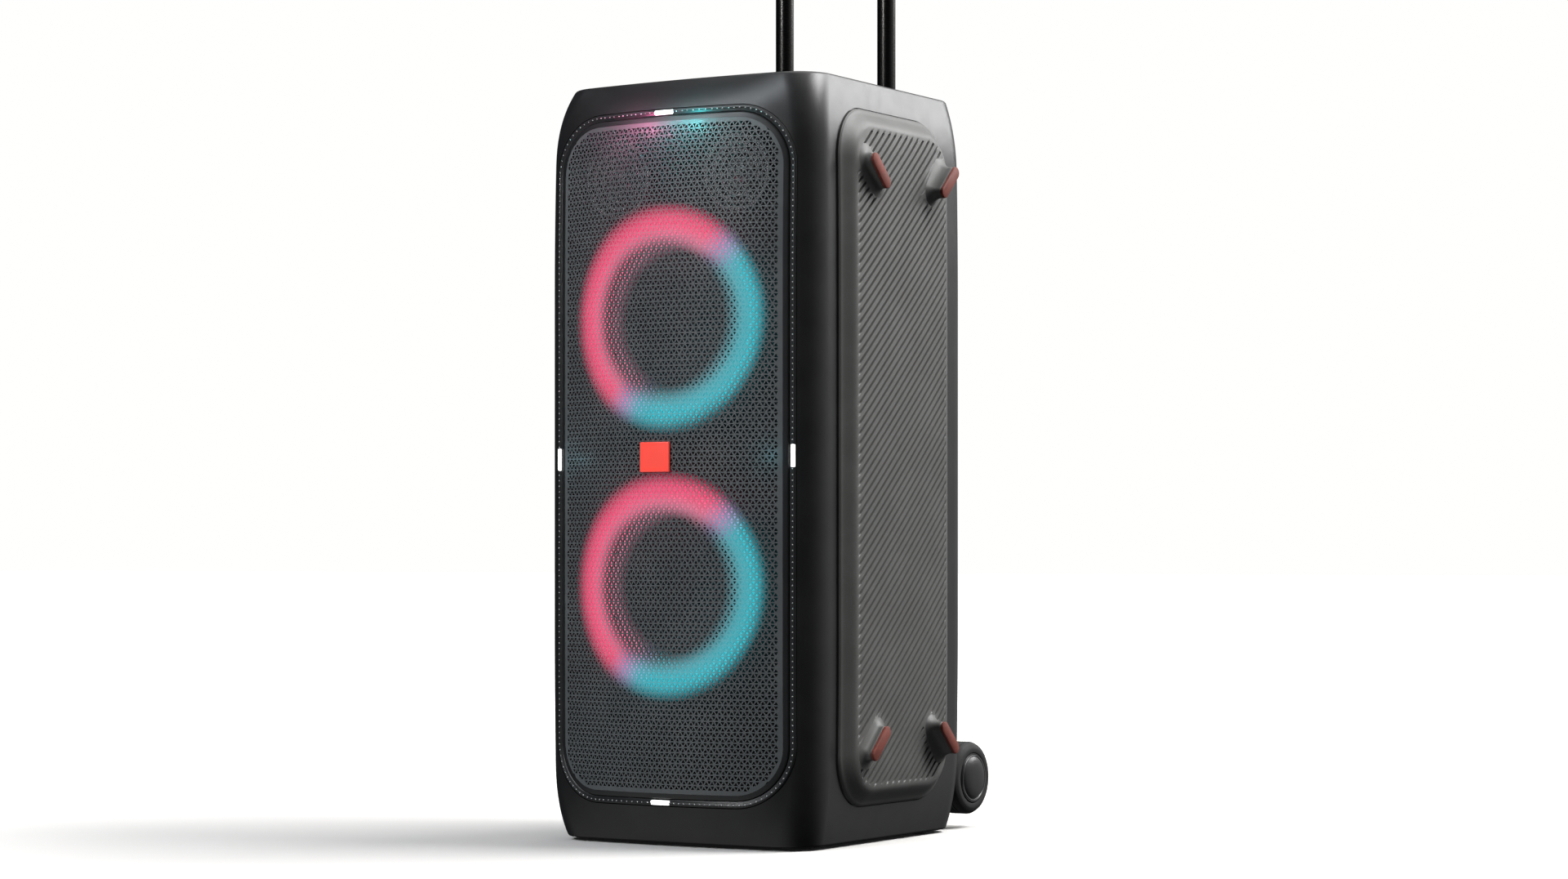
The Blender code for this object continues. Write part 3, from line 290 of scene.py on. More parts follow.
def horn_plastic_painted_rings(name, place):
    """Grey plastic with painted highlight circles about the horn's middle: a lighter colour and a faint
    painted glow.
    """
    shader = Shader(name)
    flat = shader.vector("MULTIPLY", shader.coord, (1, 0, 1))
    away = shader.vector("DISTANCE", flat, (place[0] + OFFSET.x, 0.0, place[2]), output="Value")
    wave = shader.math("COSINE", shader.math("MULTIPLY", away, 2 * pi / 0.0066))
    line = shader.remap(wave, 0.25, 0.95)
    # Painted highlights: the lighter circles and their faint emission stand in for light caught by the horn's
    # rings.
    shader.set(Base_Color=shader.mix(line, (0.05, 0.052, 0.054, 1), (0.62, 0.63, 0.64, 1)))
    shader.set(Emission_Color=(0.8, 0.86, 0.9, 1), Emission_Strength=shader.math("MULTIPLY", line, 0.085))
    speckle = shader.noise(900, 3, 0.6)
    shader.set(Roughness=shader.remap(speckle, 0.3, 0.7, 0.36, 0.48))
    shader.bump(speckle, 0.00003)
    return shader.material


def glowing(name, colour, strength):
    shader = Shader(name)
    cloud = shader.remap(shader.noise(240, 3, 0.6), 0.3, 0.7, strength * 0.85, strength * 1.1)
    shader.set(Base_Color=(0.9, 0.9, 0.9, 1), Roughness=0.2, Emission_Color=colour, Emission_Strength=cloud)
    return shader.material


def cone_material(name):
    """Pressed paper pulp: felted fibres over a slight sheen."""
    shader = Shader(name)
    fibre = shader.noise(900, 6, 0.75)
    tone = shader.remap(fibre, 0.35, 0.7)
    shader.set(Base_Color=shader.mix(tone, (0.012, 0.012, 0.013, 1), (0.03, 0.03, 0.032, 1)))
    shader.set(Roughness=shader.remap(fibre, 0.3, 0.7, 0.6, 0.8))
    shader.bump(fibre, 0.00012)
    return shader.material


CABINET_PLASTIC = moulded("cabinet_plastic", (0.014, 0.014, 0.0145, 1), (0.019, 0.019, 0.0195, 1), 0.34)
BEZEL_PLASTIC = moulded("bezel_plastic", (0.016, 0.017, 0.018, 1), (0.022, 0.023, 0.024, 1), 0.36)
# Painted light: a lighter copy of the cabinet's black plastic, so the side panels, bosses and rear plate read
# lighter as light falls on them.
PANEL_PLASTIC_PAINTED_LIGHTER = moulded("panel_plastic", (0.094, 0.094, 0.090, 1), (0.110, 0.110, 0.106, 1), 0.50, 0.00007)
BUTTON_PLASTIC = moulded("button_plastic", (0.020, 0.020, 0.021, 1), (0.028, 0.028, 0.029, 1), 0.42)
GRIP_PLASTIC = moulded("grip_plastic", (0.014, 0.014, 0.014, 1), (0.020, 0.020, 0.020, 1), 0.52, 0.00008)
# The badge is no lamp: its emission is a painted glow.
BADGE_PLASTIC = moulded(
    "badge_plastic", rgb(226, 66, 54), rgb(236, 78, 64), 0.38, 0.00001, 900, coat=0.3, glow=rgb(214, 70, 60)
)
ICON_INK = moulded("icon_ink", (0.55, 0.55, 0.56, 1), (0.62, 0.62, 0.63, 1), 0.5, 0.00001)
FOOT_RUBBER = rubber("foot_rubber", rgb(112, 48, 36), rgb(132, 60, 47), 0.66)
BLACK_RUBBER = rubber("black_rubber", (0.012, 0.012, 0.012, 1), (0.022, 0.022, 0.021, 1))
TYRE_RUBBER = rubber("tyre_rubber", (0.010, 0.010, 0.010, 1), (0.020, 0.019, 0.018, 1), 0.74)
POLE_METAL = metal("pole_metal", (0.055, 0.054, 0.052, 1), 0.26)
STEEL = metal("plain_steel", (0.50, 0.50, 0.51, 1), 0.34, (1, 1, 1))
SCREW_STEEL = metal("screw_steel", (0.08, 0.08, 0.08, 1), 0.36, (1, 1, 1))
HUB_TRIM = metal("hub_trim", (0.22, 0.22, 0.22, 1), 0.34, (1, 1, 1))
RIM_DOT = glowing("rim_dot", (0.55, 0.75, 0.8, 1), 0.035)
CONE_PAPER = cone_material("cone_paper")
GREEN_BOARD = moulded("green_board", (0.012, 0.090, 0.030, 1), (0.02, 0.13, 0.05, 1), 0.42)
BLUE_WRAP = moulded("blue_wrap", (0.03, 0.07, 0.22, 1), (0.05, 0.10, 0.28, 1), 0.35)
STROBE_LIGHT = glowing("strobe_light", (1, 1, 1, 1), 2.2)
STATUS_LIGHT = glowing("status_light", (1, 1, 1, 1), 1.6)


# Mesh helpers. All of them take the cabinet's coordinates.


def finish_piece(name, bm, material, body, nodes=(), sharp=35, outward=True):
    if outward:
        bmesh.ops.recalc_face_normals(bm, faces=bm.faces)
    bmesh.ops.translate(bm, verts=bm.verts, vec=OFFSET)
    mesh = bpy.data.meshes.new(name)
    bm.to_mesh(mesh)
    bm.free()
    mesh.materials.append(material)
    mesh.shade_smooth()
    mesh.set_sharp_from_angle(angle=radians(sharp))
    obj = bpy.data.objects.new(name, mesh)
    bpy.context.scene.collection.objects.link(obj)
    if body is None:
        return obj
    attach(obj, body)
    if nodes:
        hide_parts(*nodes)
    return obj


def soften(points, size, steps=3, closed=True):
    """Rounds the corners of a profile, each by at most half of its sides."""
    count = len(points)
    made = []
    for index, (px, py) in enumerate(points):
        if not closed and index in (0, count - 1):
            made.append((px, py))
            continue
        ax, ay = points[index - 1]
        bx, by = points[(index + 1) % count]
        to_a, to_b = hypot(ax - px, ay - py), hypot(bx - px, by - py)
        reach = min(size, to_a * 0.48, to_b * 0.48)
        start = (px + (ax - px) / to_a * reach, py + (ay - py) / to_a * reach)
        end = (px + (bx - px) / to_b * reach, py + (by - py) / to_b * reach)
        for step in range(steps + 1):
            t = step / steps
            one, two, three = (1 - t) ** 2, 2 * t * (1 - t), t * t
            x = one * start[0] + two * px + three * end[0]
            y = one * start[1] + two * py + three * end[1]
            made.append((x, y))
    return made


TURNS = {
    "+X": Matrix.Rotation(pi / 2, 4, "Y"),
    "-X": Matrix.Rotation(-pi / 2, 4, "Y"),
    "+Y": Matrix.Rotation(-pi / 2, 4, "X"),
    "-Y": Matrix.Rotation(pi / 2, 4, "X"),
    "+Z": Matrix.Identity(4),
}


def turned_mesh(profile, centre, facing, steps=72, closed=True, wave=None):
    """(radius, height) points turned about an axis through centre; wave(angle) scales the radius."""
    bm = bmesh.new()
    rows = []
    for radius, height in profile:
        if radius < 1e-6:
            rows.append([bm.verts.new((0, 0, height))])
            continue
        row = []
        for step in range(steps):
            angle = 2 * pi * step / steps
            wide = radius * (wave(angle) if wave else 1.0)
            row.append(bm.verts.new((wide * cos(angle), wide * sin(angle), height)))
        rows.append(row)
    pairs = list(zip(rows, rows[1:]))
    if closed:
        pairs.append((rows[-1], rows[0]))
    for first, second in pairs:
        for here in range(steps):
            after = (here + 1) % steps
            if len(first) == 1 and len(second) == 1:
                continue
            if len(first) == 1:
                bm.faces.new((first[0], second[here], second[after]))
            elif len(second) == 1:
                bm.faces.new((first[here], second[0], first[after]))
            else:
                bm.faces.new((first[here], second[here], second[after], first[after]))
    matrix = Matrix.Translation(Vector(centre)) @ TURNS[facing]
    bmesh.ops.transform(bm, matrix=matrix, verts=bm.verts)
    return bm


def turned(name, profile, centre, facing, material, body, nodes=(), steps=72, closed=True, wave=None):
    bm = turned_mesh(profile, centre, facing, steps, closed, wave)
    return finish_piece(name, bm, material, body, nodes)


def rounded_box_mesh(size, centre, radius, segments=4, turn=(0, 0, 0)):
    bm = bmesh.new()
    bmesh.ops.create_cube(bm, size=1.0)
    bmesh.ops.scale(bm, vec=Vector(size), verts=bm.verts)
    bmesh.ops.bevel(bm, geom=list(bm.edges), offset=radius, segments=segments, profile=0.5, affect="EDGES")
    matrix = Matrix.Translation(Vector(centre)) @ Euler(turn).to_matrix().to_4x4()
    bmesh.ops.transform(bm, matrix=matrix, verts=bm.verts)
    return bm


def outline(half_u, half_v, corner, arc=14, along_u=20, along_v=40):
    """A rounded rectangle with evenly divided sides, counter-clockwise."""
    points = []
    straight_u, straight_v = half_u - corner, half_v - corner
    # Each corner's signs and first angle, then the way, length and points of the side that follows it.
    sides = (
        (1, 1, 0, (-1, 0), 2 * straight_u, along_u),
        (-1, 1, 90, (0, -1), 2 * straight_v, along_v),
        (-1, -1, 180, (1, 0), 2 * straight_u, along_u),
        (1, -1, 270, (0, 1), 2 * straight_v, along_v),
    )
    for sign_u, sign_v, start, way, length, count in sides:
        centre_u, centre_v = sign_u * straight_u, sign_v * straight_v
        for step in range(arc + 1):
            angle = radians(start + 90 * step / arc)
            u, v = centre_u + corner * cos(angle), centre_v + corner * sin(angle)
            points.append((u, v))
        for step in range(1, count):
            run = length * step / count
            points.append((u + way[0] * run, v + way[1] * run))
    return points


def inside(u, v, half_u, half_v, corner):
    """How far (u, v) lies inside a rounded rectangle; below zero outside it."""
    across, up = abs(u) - half_u + corner, abs(v) - half_v + corner
    return corner - hypot(max(across, 0), max(up, 0)) - min(max(across, up), 0)


def stadium(length, width, steps=14):
    """A flat outline with straight sides and round ends."""
    straight = (length - width) / 2
    points = []
    for side in (1, -1):
        for step in range(steps + 1):
            angle = pi * step / steps
            points.append((side * (straight + width / 2 * sin(angle)), -side * width / 2 * cos(angle)))
    return points


def loft_mesh(rings, loop=False, caps=True):
    bm = bmesh.new()
    rows = [[bm.verts.new(point) for point in ring] for ring in rings]
    pairs = list(zip(rows, rows[1:]))
    if loop:
        pairs.append((rows[-1], rows[0]))
    for lower, upper in pairs:
        count = len(lower)
        for here in range(count):
            after = (here + 1) % count
            bm.faces.new((lower[here], lower[after], upper[after], upper[here]))
    if caps and not loop:
        bm.faces.new(list(reversed(rows[0])))
        bm.faces.new(rows[-1])
    return bm


def smoothstep(value, start, end):
    share = min(1.0, max(0.0, (value - start) / (end - start)))
    return share * share * (3 - 2 * share)


# The cabinet's surface.


def end_share(z):
    distance = max(0.0, min(z - BASE_Z, HEIGHT - z))
    near = max(0.0, 1 - distance / NEAR_REACH) ** 2.2
    far = max(0.0, 1 - distance / FAR_REACH) ** 2
    return 0.8 * near + 0.2 * far


def half_width(z):
    return HALF_WIDTH - SIDE_DRAW * end_share(z)


def front_middle(z):
    draw = FRONT_DRAW_TOP if z > HEIGHT / 2 else FRONT_DRAW_BOTTOM
    return FRONT_Y + draw * end_share(z)


def front_curve(x, z):
    bulge = BULGE + (END_BULGE - BULGE) * end_share(z)
    return front_middle(z) + bulge * (x / BEZEL_HALF_WIDTH) ** 2


def front_angle(x, z):
    bulge = BULGE + (END_BULGE - BULGE) * end_share(z)
    return atan(2 * bulge * x / BEZEL_HALF_WIDTH**2)


def front_lean(z):
    step = 0.001
    return atan((front_middle(z + step) - front_middle(z - step)) / (2 * step))


def corner_start(z):
    x = half_width(z) - FRONT_CORNER / 2
    for _ in range(4):
        x = half_width(z) - FRONT_CORNER * (1 - sin(front_angle(x, z)))
    return x, front_angle(x, z)


def rear_y(z):
    return REAR_Y - REAR_DRAW * end_share(z)


def side_x(y, z):
    x, angle = corner_start(z)
    start = front_curve(x, z) + FRONT_CORNER * cos(angle)
    end = rear_y(z) - REAR_CORNER
    share = min(1.0, max(0.0, (y - start) / (end - start)))
    return half_width(z) - REAR_TAPER * share


def half_section(z, fine):
    """(x, y, normal_x, normal_y) along the right half of the section at z; `fine` multiplies the points."""
    points = []
    start_x, start_angle = corner_start(z)
    for step in range(5 * fine):
        x = start_x * step / (5 * fine)
        angle = front_angle(x, z)
        points.append((x, front_curve(x, z), sin(angle), -cos(angle)))
    centre_x = start_x - FRONT_CORNER * sin(start_angle)
    centre_y = front_curve(start_x, z) + FRONT_CORNER * cos(start_angle)
    for step in range(4 * fine + 1):
        angle = start_angle + (pi / 2 - start_angle) * step / (4 * fine)
        across, along = sin(angle), -cos(angle)
        points.append((centre_x + FRONT_CORNER * across, centre_y + FRONT_CORNER * along, across, along))
    corner_y = rear_y(z) - REAR_CORNER
    corner_x = half_width(z) - REAR_TAPER - REAR_CORNER
    for step in range(1, 2 * fine):
        y = centre_y + (corner_y - centre_y) * step / (2 * fine)
        points.append((side_x(y, z), y, 1.0, 0.0))
    for step in range(3 * fine + 1):
        angle = pi / 2 * step / (3 * fine)
        across, along = cos(angle), sin(angle)
        points.append((corner_x + REAR_CORNER * across, corner_y + REAR_CORNER * along, across, along))
    for step in range(1, fine + 1):
        points.append((corner_x * (1 - step / fine), rear_y(z), 0.0, 1.0))
    return points


def section(z, inset, height, fine):
    right = [(x - inset * nx, y - inset * ny) for x, y, nx, ny in half_section(z, fine)]
    left = [(-x, y) for x, y in reversed(right[1:-1])]
    return [(x, y, height) for x, y in right + left]


def scratch_object(bm):
    """A plain object for Boolean work."""
    bmesh.ops.recalc_face_normals(bm, faces=bm.faces)
    mesh = bpy.data.meshes.new("scratch")
    bm.to_mesh(mesh)
    bm.free()
    obj = bpy.data.objects.new("scratch", mesh)
    bpy.context.scene.collection.objects.link(obj)
    return obj


def carve(bm, cutters):
    """The bmesh with each cutter's shape taken out of it."""
    solid = scratch_object(bm)
    tools = [scratch_object(tool) for tool in cutters]
    for tool in tools:
        modifier = solid.modifiers.new("carve", "BOOLEAN")
        modifier.operation = "DIFFERENCE"
        modifier.solver = "EXACT"
        modifier.object = tool
    bpy.context.view_layer.update()
    evaluated = solid.evaluated_get(bpy.context.evaluated_depsgraph_get())
    result = bmesh.new()
    result.from_mesh(evaluated.to_mesh())
    evaluated.to_mesh_clear()
    for obj in [solid, *tools]:
        mesh = obj.data
        bpy.data.objects.remove(obj)
        bpy.data.meshes.remove(mesh)
    return result


def prism_y(points, centre_x, centre_z, front, rear):
    return loft_mesh([[(centre_x + u, y, centre_z + v) for u, v in points] for y in (front, rear)])


def prism_z(points, centre_x, centre_y, low, high):
    return loft_mesh([[(centre_x + u, centre_y + v, z) for u, v in points] for z in (low, high)])


def circle(radius, steps=48):
    return [(radius * cos(2 * pi * i / steps), radius * sin(2 * pi * i / steps)) for i in range(steps)]


IO_LOW, IO_HIGH, IO_MIDDLE = local("connection_panel")
TOP_LOW, TOP_HIGH, TOP_MIDDLE = local("top_panel")
INLET_LOW, INLET_HIGH, INLET_MIDDLE = local("mains_inlet")
PORT_LOW, PORT_HIGH, PORT_MIDDLE = local("reflex_port")
TOP_CORNER = 0.022
IO_CORNER = 0.008
PORT_RADIUS = 0.030
PORT_WALL = 0.003
POLE_RADIUS = 0.0087
POLES = {name: local("handle_pole_" + name) for name in SIDES}
GUIDE_RADIUS = 0.0104


def make_cabinet():
    """The moulded body: hollow, and cut out for the bezel, panels, inlet, port and pole guides."""
    fine = 6
    round_over = 0.0022
    levels = [BASE_Z + round_over, HEIGHT - round_over]
    count = 84
    inner = [levels[0] + (levels[1] - levels[0]) * (0.5 - 0.5 * cos(pi * i / count)) for i in range(1, count)]
    bottom = []
    top = []
    for step in range(7):
        turn = pi / 2 * step / 6
        inset = round_over * (1 - sin(turn))
        drop = round_over * (1 - cos(turn))
        bottom.append(section(BASE_Z + drop, inset, BASE_Z + drop, fine))
        top.insert(0, section(HEIGHT - drop, inset, HEIGHT - drop, fine))
    rings = bottom + [section(z, 0.0, z, fine) for z in inner] + top
    body = loft_mesh(rings)
    hollow = loft_mesh([section(z, WALL, z, 2) for z in [BASE_Z + WALL, *inner[6:-6:4], HEIGHT - WALL]])
    front = outline(BEZEL_HALF_WIDTH + GAP, BEZEL_HALF_HEIGHT + GAP, BEZEL_CORNER + GAP)
    top_half = ((TOP_HIGH.x - TOP_LOW.x) / 2 + 0.0004, (TOP_HIGH.y - TOP_LOW.y) / 2 + 0.0004)
    io_half = ((IO_HIGH.x - IO_LOW.x) / 2 + GAP, (IO_HIGH.z - IO_LOW.z) / 2 + GAP)
    inlet_half = ((INLET_HIGH.x - INLET_LOW.x) / 2 + GAP, (INLET_HIGH.z - INLET_LOW.z) / 2 + GAP)
    tools = [
        hollow,
        prism_y(front, 0, BEZEL_Z, FRONT_Y - 0.02, -0.106),
        prism_z(outline(*top_half, TOP_CORNER), 0, TOP_MIDDLE.y, HEIGHT - 0.008, HEIGHT + 0.01),
        prism_y(outline(*io_half, IO_CORNER), 0, IO_MIDDLE.z, REAR_Y - 0.012, REAR_Y + 0.01),
        prism_y(outline(*inlet_half, 0.001, 3, 4, 4), 0, INLET_MIDDLE.z, REAR_Y - 0.012, REAR_Y + 0.01),
        prism_y(circle(PORT_RADIUS + PORT_WALL + GAP), 0, PORT_MIDDLE.z, REAR_Y - 0.012, REAR_Y + 0.01),
    ]
    for side in SIDES.values():
        channel = []
        for inset, out in ((-0.0011, -0.0020), (-0.0011, 0.0040), (0.0012, 0.0040), (0.0012, -0.0020)):
            halves = (PANEL_HALF_LENGTH - inset, PANEL_HALF_HEIGHT - inset)
            loop = outline(*halves, PANEL_CORNER - inset, 16, 12, 40)
            places = [(PANEL_Y + u, PANEL_Z + v) for u, v in loop]
            channel.append([(side * (side_x(y, z) + out), y, z) for y, z in places])
        tools.append(loft_mesh(channel, loop=True))
    for _, _, middle in POLES.values():
        tools.append(prism_z(circle(GUIDE_RADIUS + GAP), middle.x, middle.y, HEIGHT - 0.008, HEIGHT + 0.01))
    shell = carve(body, tools)
    finish_piece("cabinet_body", shell, CABINET_PLASTIC, "cabinet", ["cabinet_shell"], 30)


def front_point(u, v, depth):
    z = BEZEL_Z + v
    return (u, front_curve(u, z) + depth, z)


def front_ring(half_u, half_v, corner, inset, depth):
    """A rounded rectangle, drawn in by the inset and laid on the cabinet's front."""
    points = outline(half_u - inset, half_v - inset, corner - inset, 24, 30, 60)
    return [front_point(u, v, depth) for u, v in points]


def make_bezel():
    """The rim round the grille, with the four strobe lenses let into it."""
    profile = [
        (0.0, 0.0060), (0.0, 0.0012), (0.0003, 0.0003), (0.0008, -0.0003), (0.0014, -0.0006),
        (0.0021, -0.0006), (0.0028, -0.0003), (0.0034, 0.0002), (0.0046, 0.0008), (0.0058, 0.0012),
        (0.0064, 0.0018), (0.0065, 0.0060),
    ]
    rings = [front_ring(BEZEL_HALF_WIDTH, BEZEL_HALF_HEIGHT, BEZEL_CORNER, *point) for point in profile]
    tools = []
    for where in ("top", "bottom", "left", "right"):
        node = "strobe_lens_" + where
        middle = local(node)[2]
        flat = where in ("top", "bottom")
        size = [0.020, 0.0030, 0.0040] if flat else [0.0040, 0.0030, 0.020]
        turn = (-front_lean(middle.z), 0, front_angle(middle.x, middle.z))
        place = (middle.x, front_curve(middle.x, middle.z) + 0.0015 - 0.0006, middle.z)
        cap = rounded_box_mesh(size, place, 0.0012, 5, turn)
        finish_piece(node + "_cap", cap, STROBE_LIGHT, "cabinet", [node])
        tools.append(rounded_box_mesh([length + 0.0006 for length in size], place, 0.0012, 3, turn))
    bezel = carve(loft_mesh(rings, loop=True), tools)
    finish_piece("bezel_trim", bezel, BEZEL_PLASTIC, "cabinet", ["front_bezel"], 40)


def make_rim_dots():
    """A row of small light guides let into the bezel, all the way round."""
    inset = 0.0030
    half_u, half_v, corner = BEZEL_HALF_WIDTH - inset, BEZEL_HALF_HEIGHT - inset, BEZEL_CORNER - inset
    loop = outline(half_u, half_v, corner, 60, 120, 400)
    bm = bmesh.new()
    run, last = 0.0, loop[-1]
    for u, v in loop:
        run += hypot(u - last[0], v - last[1])
        last = (u, v)
        if run < 0.0050:
            continue
        run = 0.0
        rings = [
            [bm.verts.new(front_point(u + r * cos(a * pi / 4), v + r * sin(a * pi / 4), d)) for a in range(8)]
            for r, d in ((0.0006, 0.0002), (0.00052, -0.0004), (0.0003, -0.00055))
        ]
        for lower, upper in zip(rings, rings[1:]):
            for here in range(8):
                bm.faces.new((lower[here], lower[(here + 1) % 8], upper[(here + 1) % 8], upper[here]))
        bm.faces.new(rings[-1])
        bm.faces.new(list(reversed(rings[0])))
    finish_piece("rim_dots", bm, RIM_DOT, "cabinet")


WOOFER_Z = {name: local("woofer_cone_" + name)[2].z for name in ("lower", "upper")}
LATTICE = 0.0055
STRUT = 0.00122


def make_grille():
    """A sheet with a triangular hole in every cell of a triangular lattice, inside a plain edge."""
    half_u = BEZEL_HALF_WIDTH - BEZEL_BAND - GAP
    half_v = BEZEL_HALF_HEIGHT - BEZEL_BAND - GAP
    corner = BEZEL_CORNER - BEZEL_BAND - GAP
    thickness = 0.0013
    edge = 0.0052
    rise = LATTICE * sqrt(3) / 2
    scale = 1 - (STRUT / 2) / (LATTICE / (2 * sqrt(3)))
    bm = bmesh.new()
    corners = {}

    def lattice(column, row):
        key = (column, row)
        if key not in corners:
            u, v = column * LATTICE / 2, row * rise
            corners[key] = (bm.verts.new(front_point(u, v, GRILLE_SET_BACK)), u, v)
        return corners[key]

    rows = int(half_v / rise) + 2
    columns = int(2 * half_u / LATTICE) + 4
    for row in range(-rows, rows):
        for column in range(-columns, columns):
            upright = (column + row) % 2 == 0
            if upright:
                keys = ((column, row), (column + 2, row), (column + 1, row + 1))
            else:
                keys = ((column, row + 1), (column + 1, row), (column + 2, row + 1))
            places = [(c * LATTICE / 2, r * rise) for c, r in keys]
            depths = [inside(u, v, half_u, half_v, corner) for u, v in places]
            if min(depths) < 0.0006:
                continue
            points = [lattice(*key) for key in keys]
            verts = [point[0] for point in points]
            if min(depths) < edge:
                bm.faces.new(verts)
                continue
            middle_u = sum(point[1] for point in points) / 3
            middle_v = sum(point[2] for point in points) / 3
            fronts, backs = [], []
            for _, u, v in points:
                in_u = middle_u + (u - middle_u) * scale
                in_v = middle_v + (v - middle_v) * scale
                fronts.append(bm.verts.new(front_point(in_u, in_v, GRILLE_SET_BACK)))
                backs.append(bm.verts.new(front_point(in_u, in_v, GRILLE_SET_BACK + thickness)))
            for here in range(3):
                after = (here + 1) % 3
                bm.faces.new((verts[here], verts[after], fronts[after], fronts[here]))
                bm.faces.new((fronts[here], fronts[after], backs[after], backs[here]))
    paint = grille_coat_painted_glow("grille_coat_painted_glow", WOOFER_Z.values())
    finish_piece("grille_sheet", bm, paint, "cabinet", ["grille"], 30, False)
    profile = [
        (0.0, 0.0030), (0.0, 0.0006), (0.0005, 0.0000), (0.0012, -0.0001), (edge - 0.0004, -0.0001),
        (edge, 0.0006),
    ]
    rings = [front_ring(half_u, half_v, corner, inset, GRILLE_SET_BACK + depth) for inset, depth in profile]
    band = loft_mesh(rings, caps=False)
    finish_piece("grille_edge", band, BEZEL_PLASTIC, "cabinet", sharp=40)


def make_badge():
    """A plain plate with a fine raised frame."""
    low, high, middle = local("badge")
    size = high - low
    plate = rounded_box_mesh(size, middle, 0.0007, 4)
    finish_piece("badge_plate", plate, BADGE_PLASTIC, "cabinet", ["badge"])
    place = (middle.x, low.y + 0.0003, middle.z)
    outer = rounded_box_mesh((size.x - 0.004, 0.0006, size.z - 0.004), place, 0.00025, 2)
    inner = rounded_box_mesh((size.x - 0.0056, 0.0012, size.z - 0.0056), place, 0.0002, 2)
    finish_piece("badge_rim", carve(outer, [inner]), BADGE_PLASTIC, "cabinet")


BAFFLE_Y = local("baffle")[0].y


SURROUND_RADIUS = 0.0657
SCREW_CIRCLE = 0.0782


def make_light_ring(name, place):
    profile = [
        (RING_OUTER, 0.0200), (RING_OUTER, 0.0170), (RING_INNER + 0.0030, 0.0040), (RING_INNER, 0.0040),
        (RING_INNER, 0.0056), (RING_INNER + 0.0060, 0.0098), (RING_INNER + 0.014, 0.0152),
        (RING_OUTER - 0.0025, 0.0200),
    ]
    glow = diffuser("ring_diffuser_" + name, place[2])
    node = "light_ring_" + name
    bm = turned_mesh(soften(profile, 0.0012), place, "-Y", 128)
    finish_piece("ring_" + name, bm, glow, "cabinet", [node])


def make_basket(name, place):
    profile = [
        (0.083, 0.0033), (0.083, 0.0003), (0.0735, 0.0003), (0.0735, -0.0145), (0.050, -0.048),
        (0.022, -0.048), (0.022, -0.0455), (0.0475, -0.0455), (0.071, -0.012), (0.071, 0.0033),
    ]
    lit = lit_edge("basket_paint_" + name, place[2], (0.03, 0.03, 0.03, 1), 0.42)
    node = "woofer_frame_" + name
    turned("basket_" + name, soften(profile, 0.0012), place, "-Y", lit, "cabinet", [node], 96)


def make_surround(name, place):
    """A half roll of rubber, 0.8 mm thick at its sides."""
    roll = []
    for half_width, base, turns in ((0.0053, 0.0012, range(13)), (0.0045, 0.0002, range(12, -1, -1))):
        for angle in (pi * turn / 12 for turn in turns):
            roll.append((SURROUND_RADIUS - half_width * cos(angle), base + 0.0042 * sin(angle)))
    lit = lit_edge("surround_rubber_" + name, place[2], (0.018, 0.018, 0.018, 1), 0.6)
    node = "woofer_surround_" + name
    turned("surround_" + name, roll, place, "-Y", lit, "cabinet", [node], 96)


def make_cone(name, place):
    """A domed dust cap, a ribbed cone and the voice coil's tube behind it."""
    profile = [(0.0, -0.0106), (0.005, -0.0110), (0.0105, -0.0126), (0.0148, -0.0154), (0.0178, -0.0188)]
    profile.append((0.0186, -0.0186))
    for step in range(25):
        share = step / 24
        ripple = 0.00035 * cos(step * pi)
        profile.append((0.020 + 0.0385 * share, -0.0182 + 0.0190 * share**1.15 + ripple))
    profile += [(0.060, 0.0012), (0.060, 0.0), (0.0198, -0.0210), (0.0180, -0.0370), (0.0168, -0.0370)]
    profile += [(0.0168, -0.0208), (0.0, -0.0118)]
    body = "cone_" + name
    turned(body, profile, place, "-Y", CONE_PAPER, body, ["woofer_" + body], 96, False)


def make_rings_and_woofers():
    for name, z in WOOFER_Z.items():
        place = (0, BAFFLE_Y, z)
        for make in (make_light_ring, make_basket, make_surround, make_cone):
            make(name, place)
        for step in range(8):
            angle = 2 * pi * (step + 0.5) / 8
            spot = (SCREW_CIRCLE * cos(angle), BAFFLE_Y - 0.0033, z + SCREW_CIRCLE * sin(angle))
            make_screw(f"woofer_screw_{name}_{step}", spot, "-Y", 0.0026)


def make_screw(name, place, facing, radius):
    """A cross-head screw with a domed head, facing -Y or +Y."""
    dome = [(0.0, 0.55), (0.45, 0.5), (0.85, 0.3), (1.0, 0.0), (0.0, 0.0)]
    head = turned_mesh([(radius * r, radius * h) for r, h in dome], place, facing, 24, False)
    out = 1 if facing == "+Y" else -1
    spot = Vector(place) + Vector((0, out * radius * 0.75, 0))
    slots = []
    for wide, tall in ((1.2, 0.28), (0.28, 1.2)):
        slots.append(rounded_box_mesh((radius * wide, radius, radius * tall), spot, radius * 0.05, 1))
    finish_piece(name, carve(head, slots), SCREW_STEEL, "cabinet")


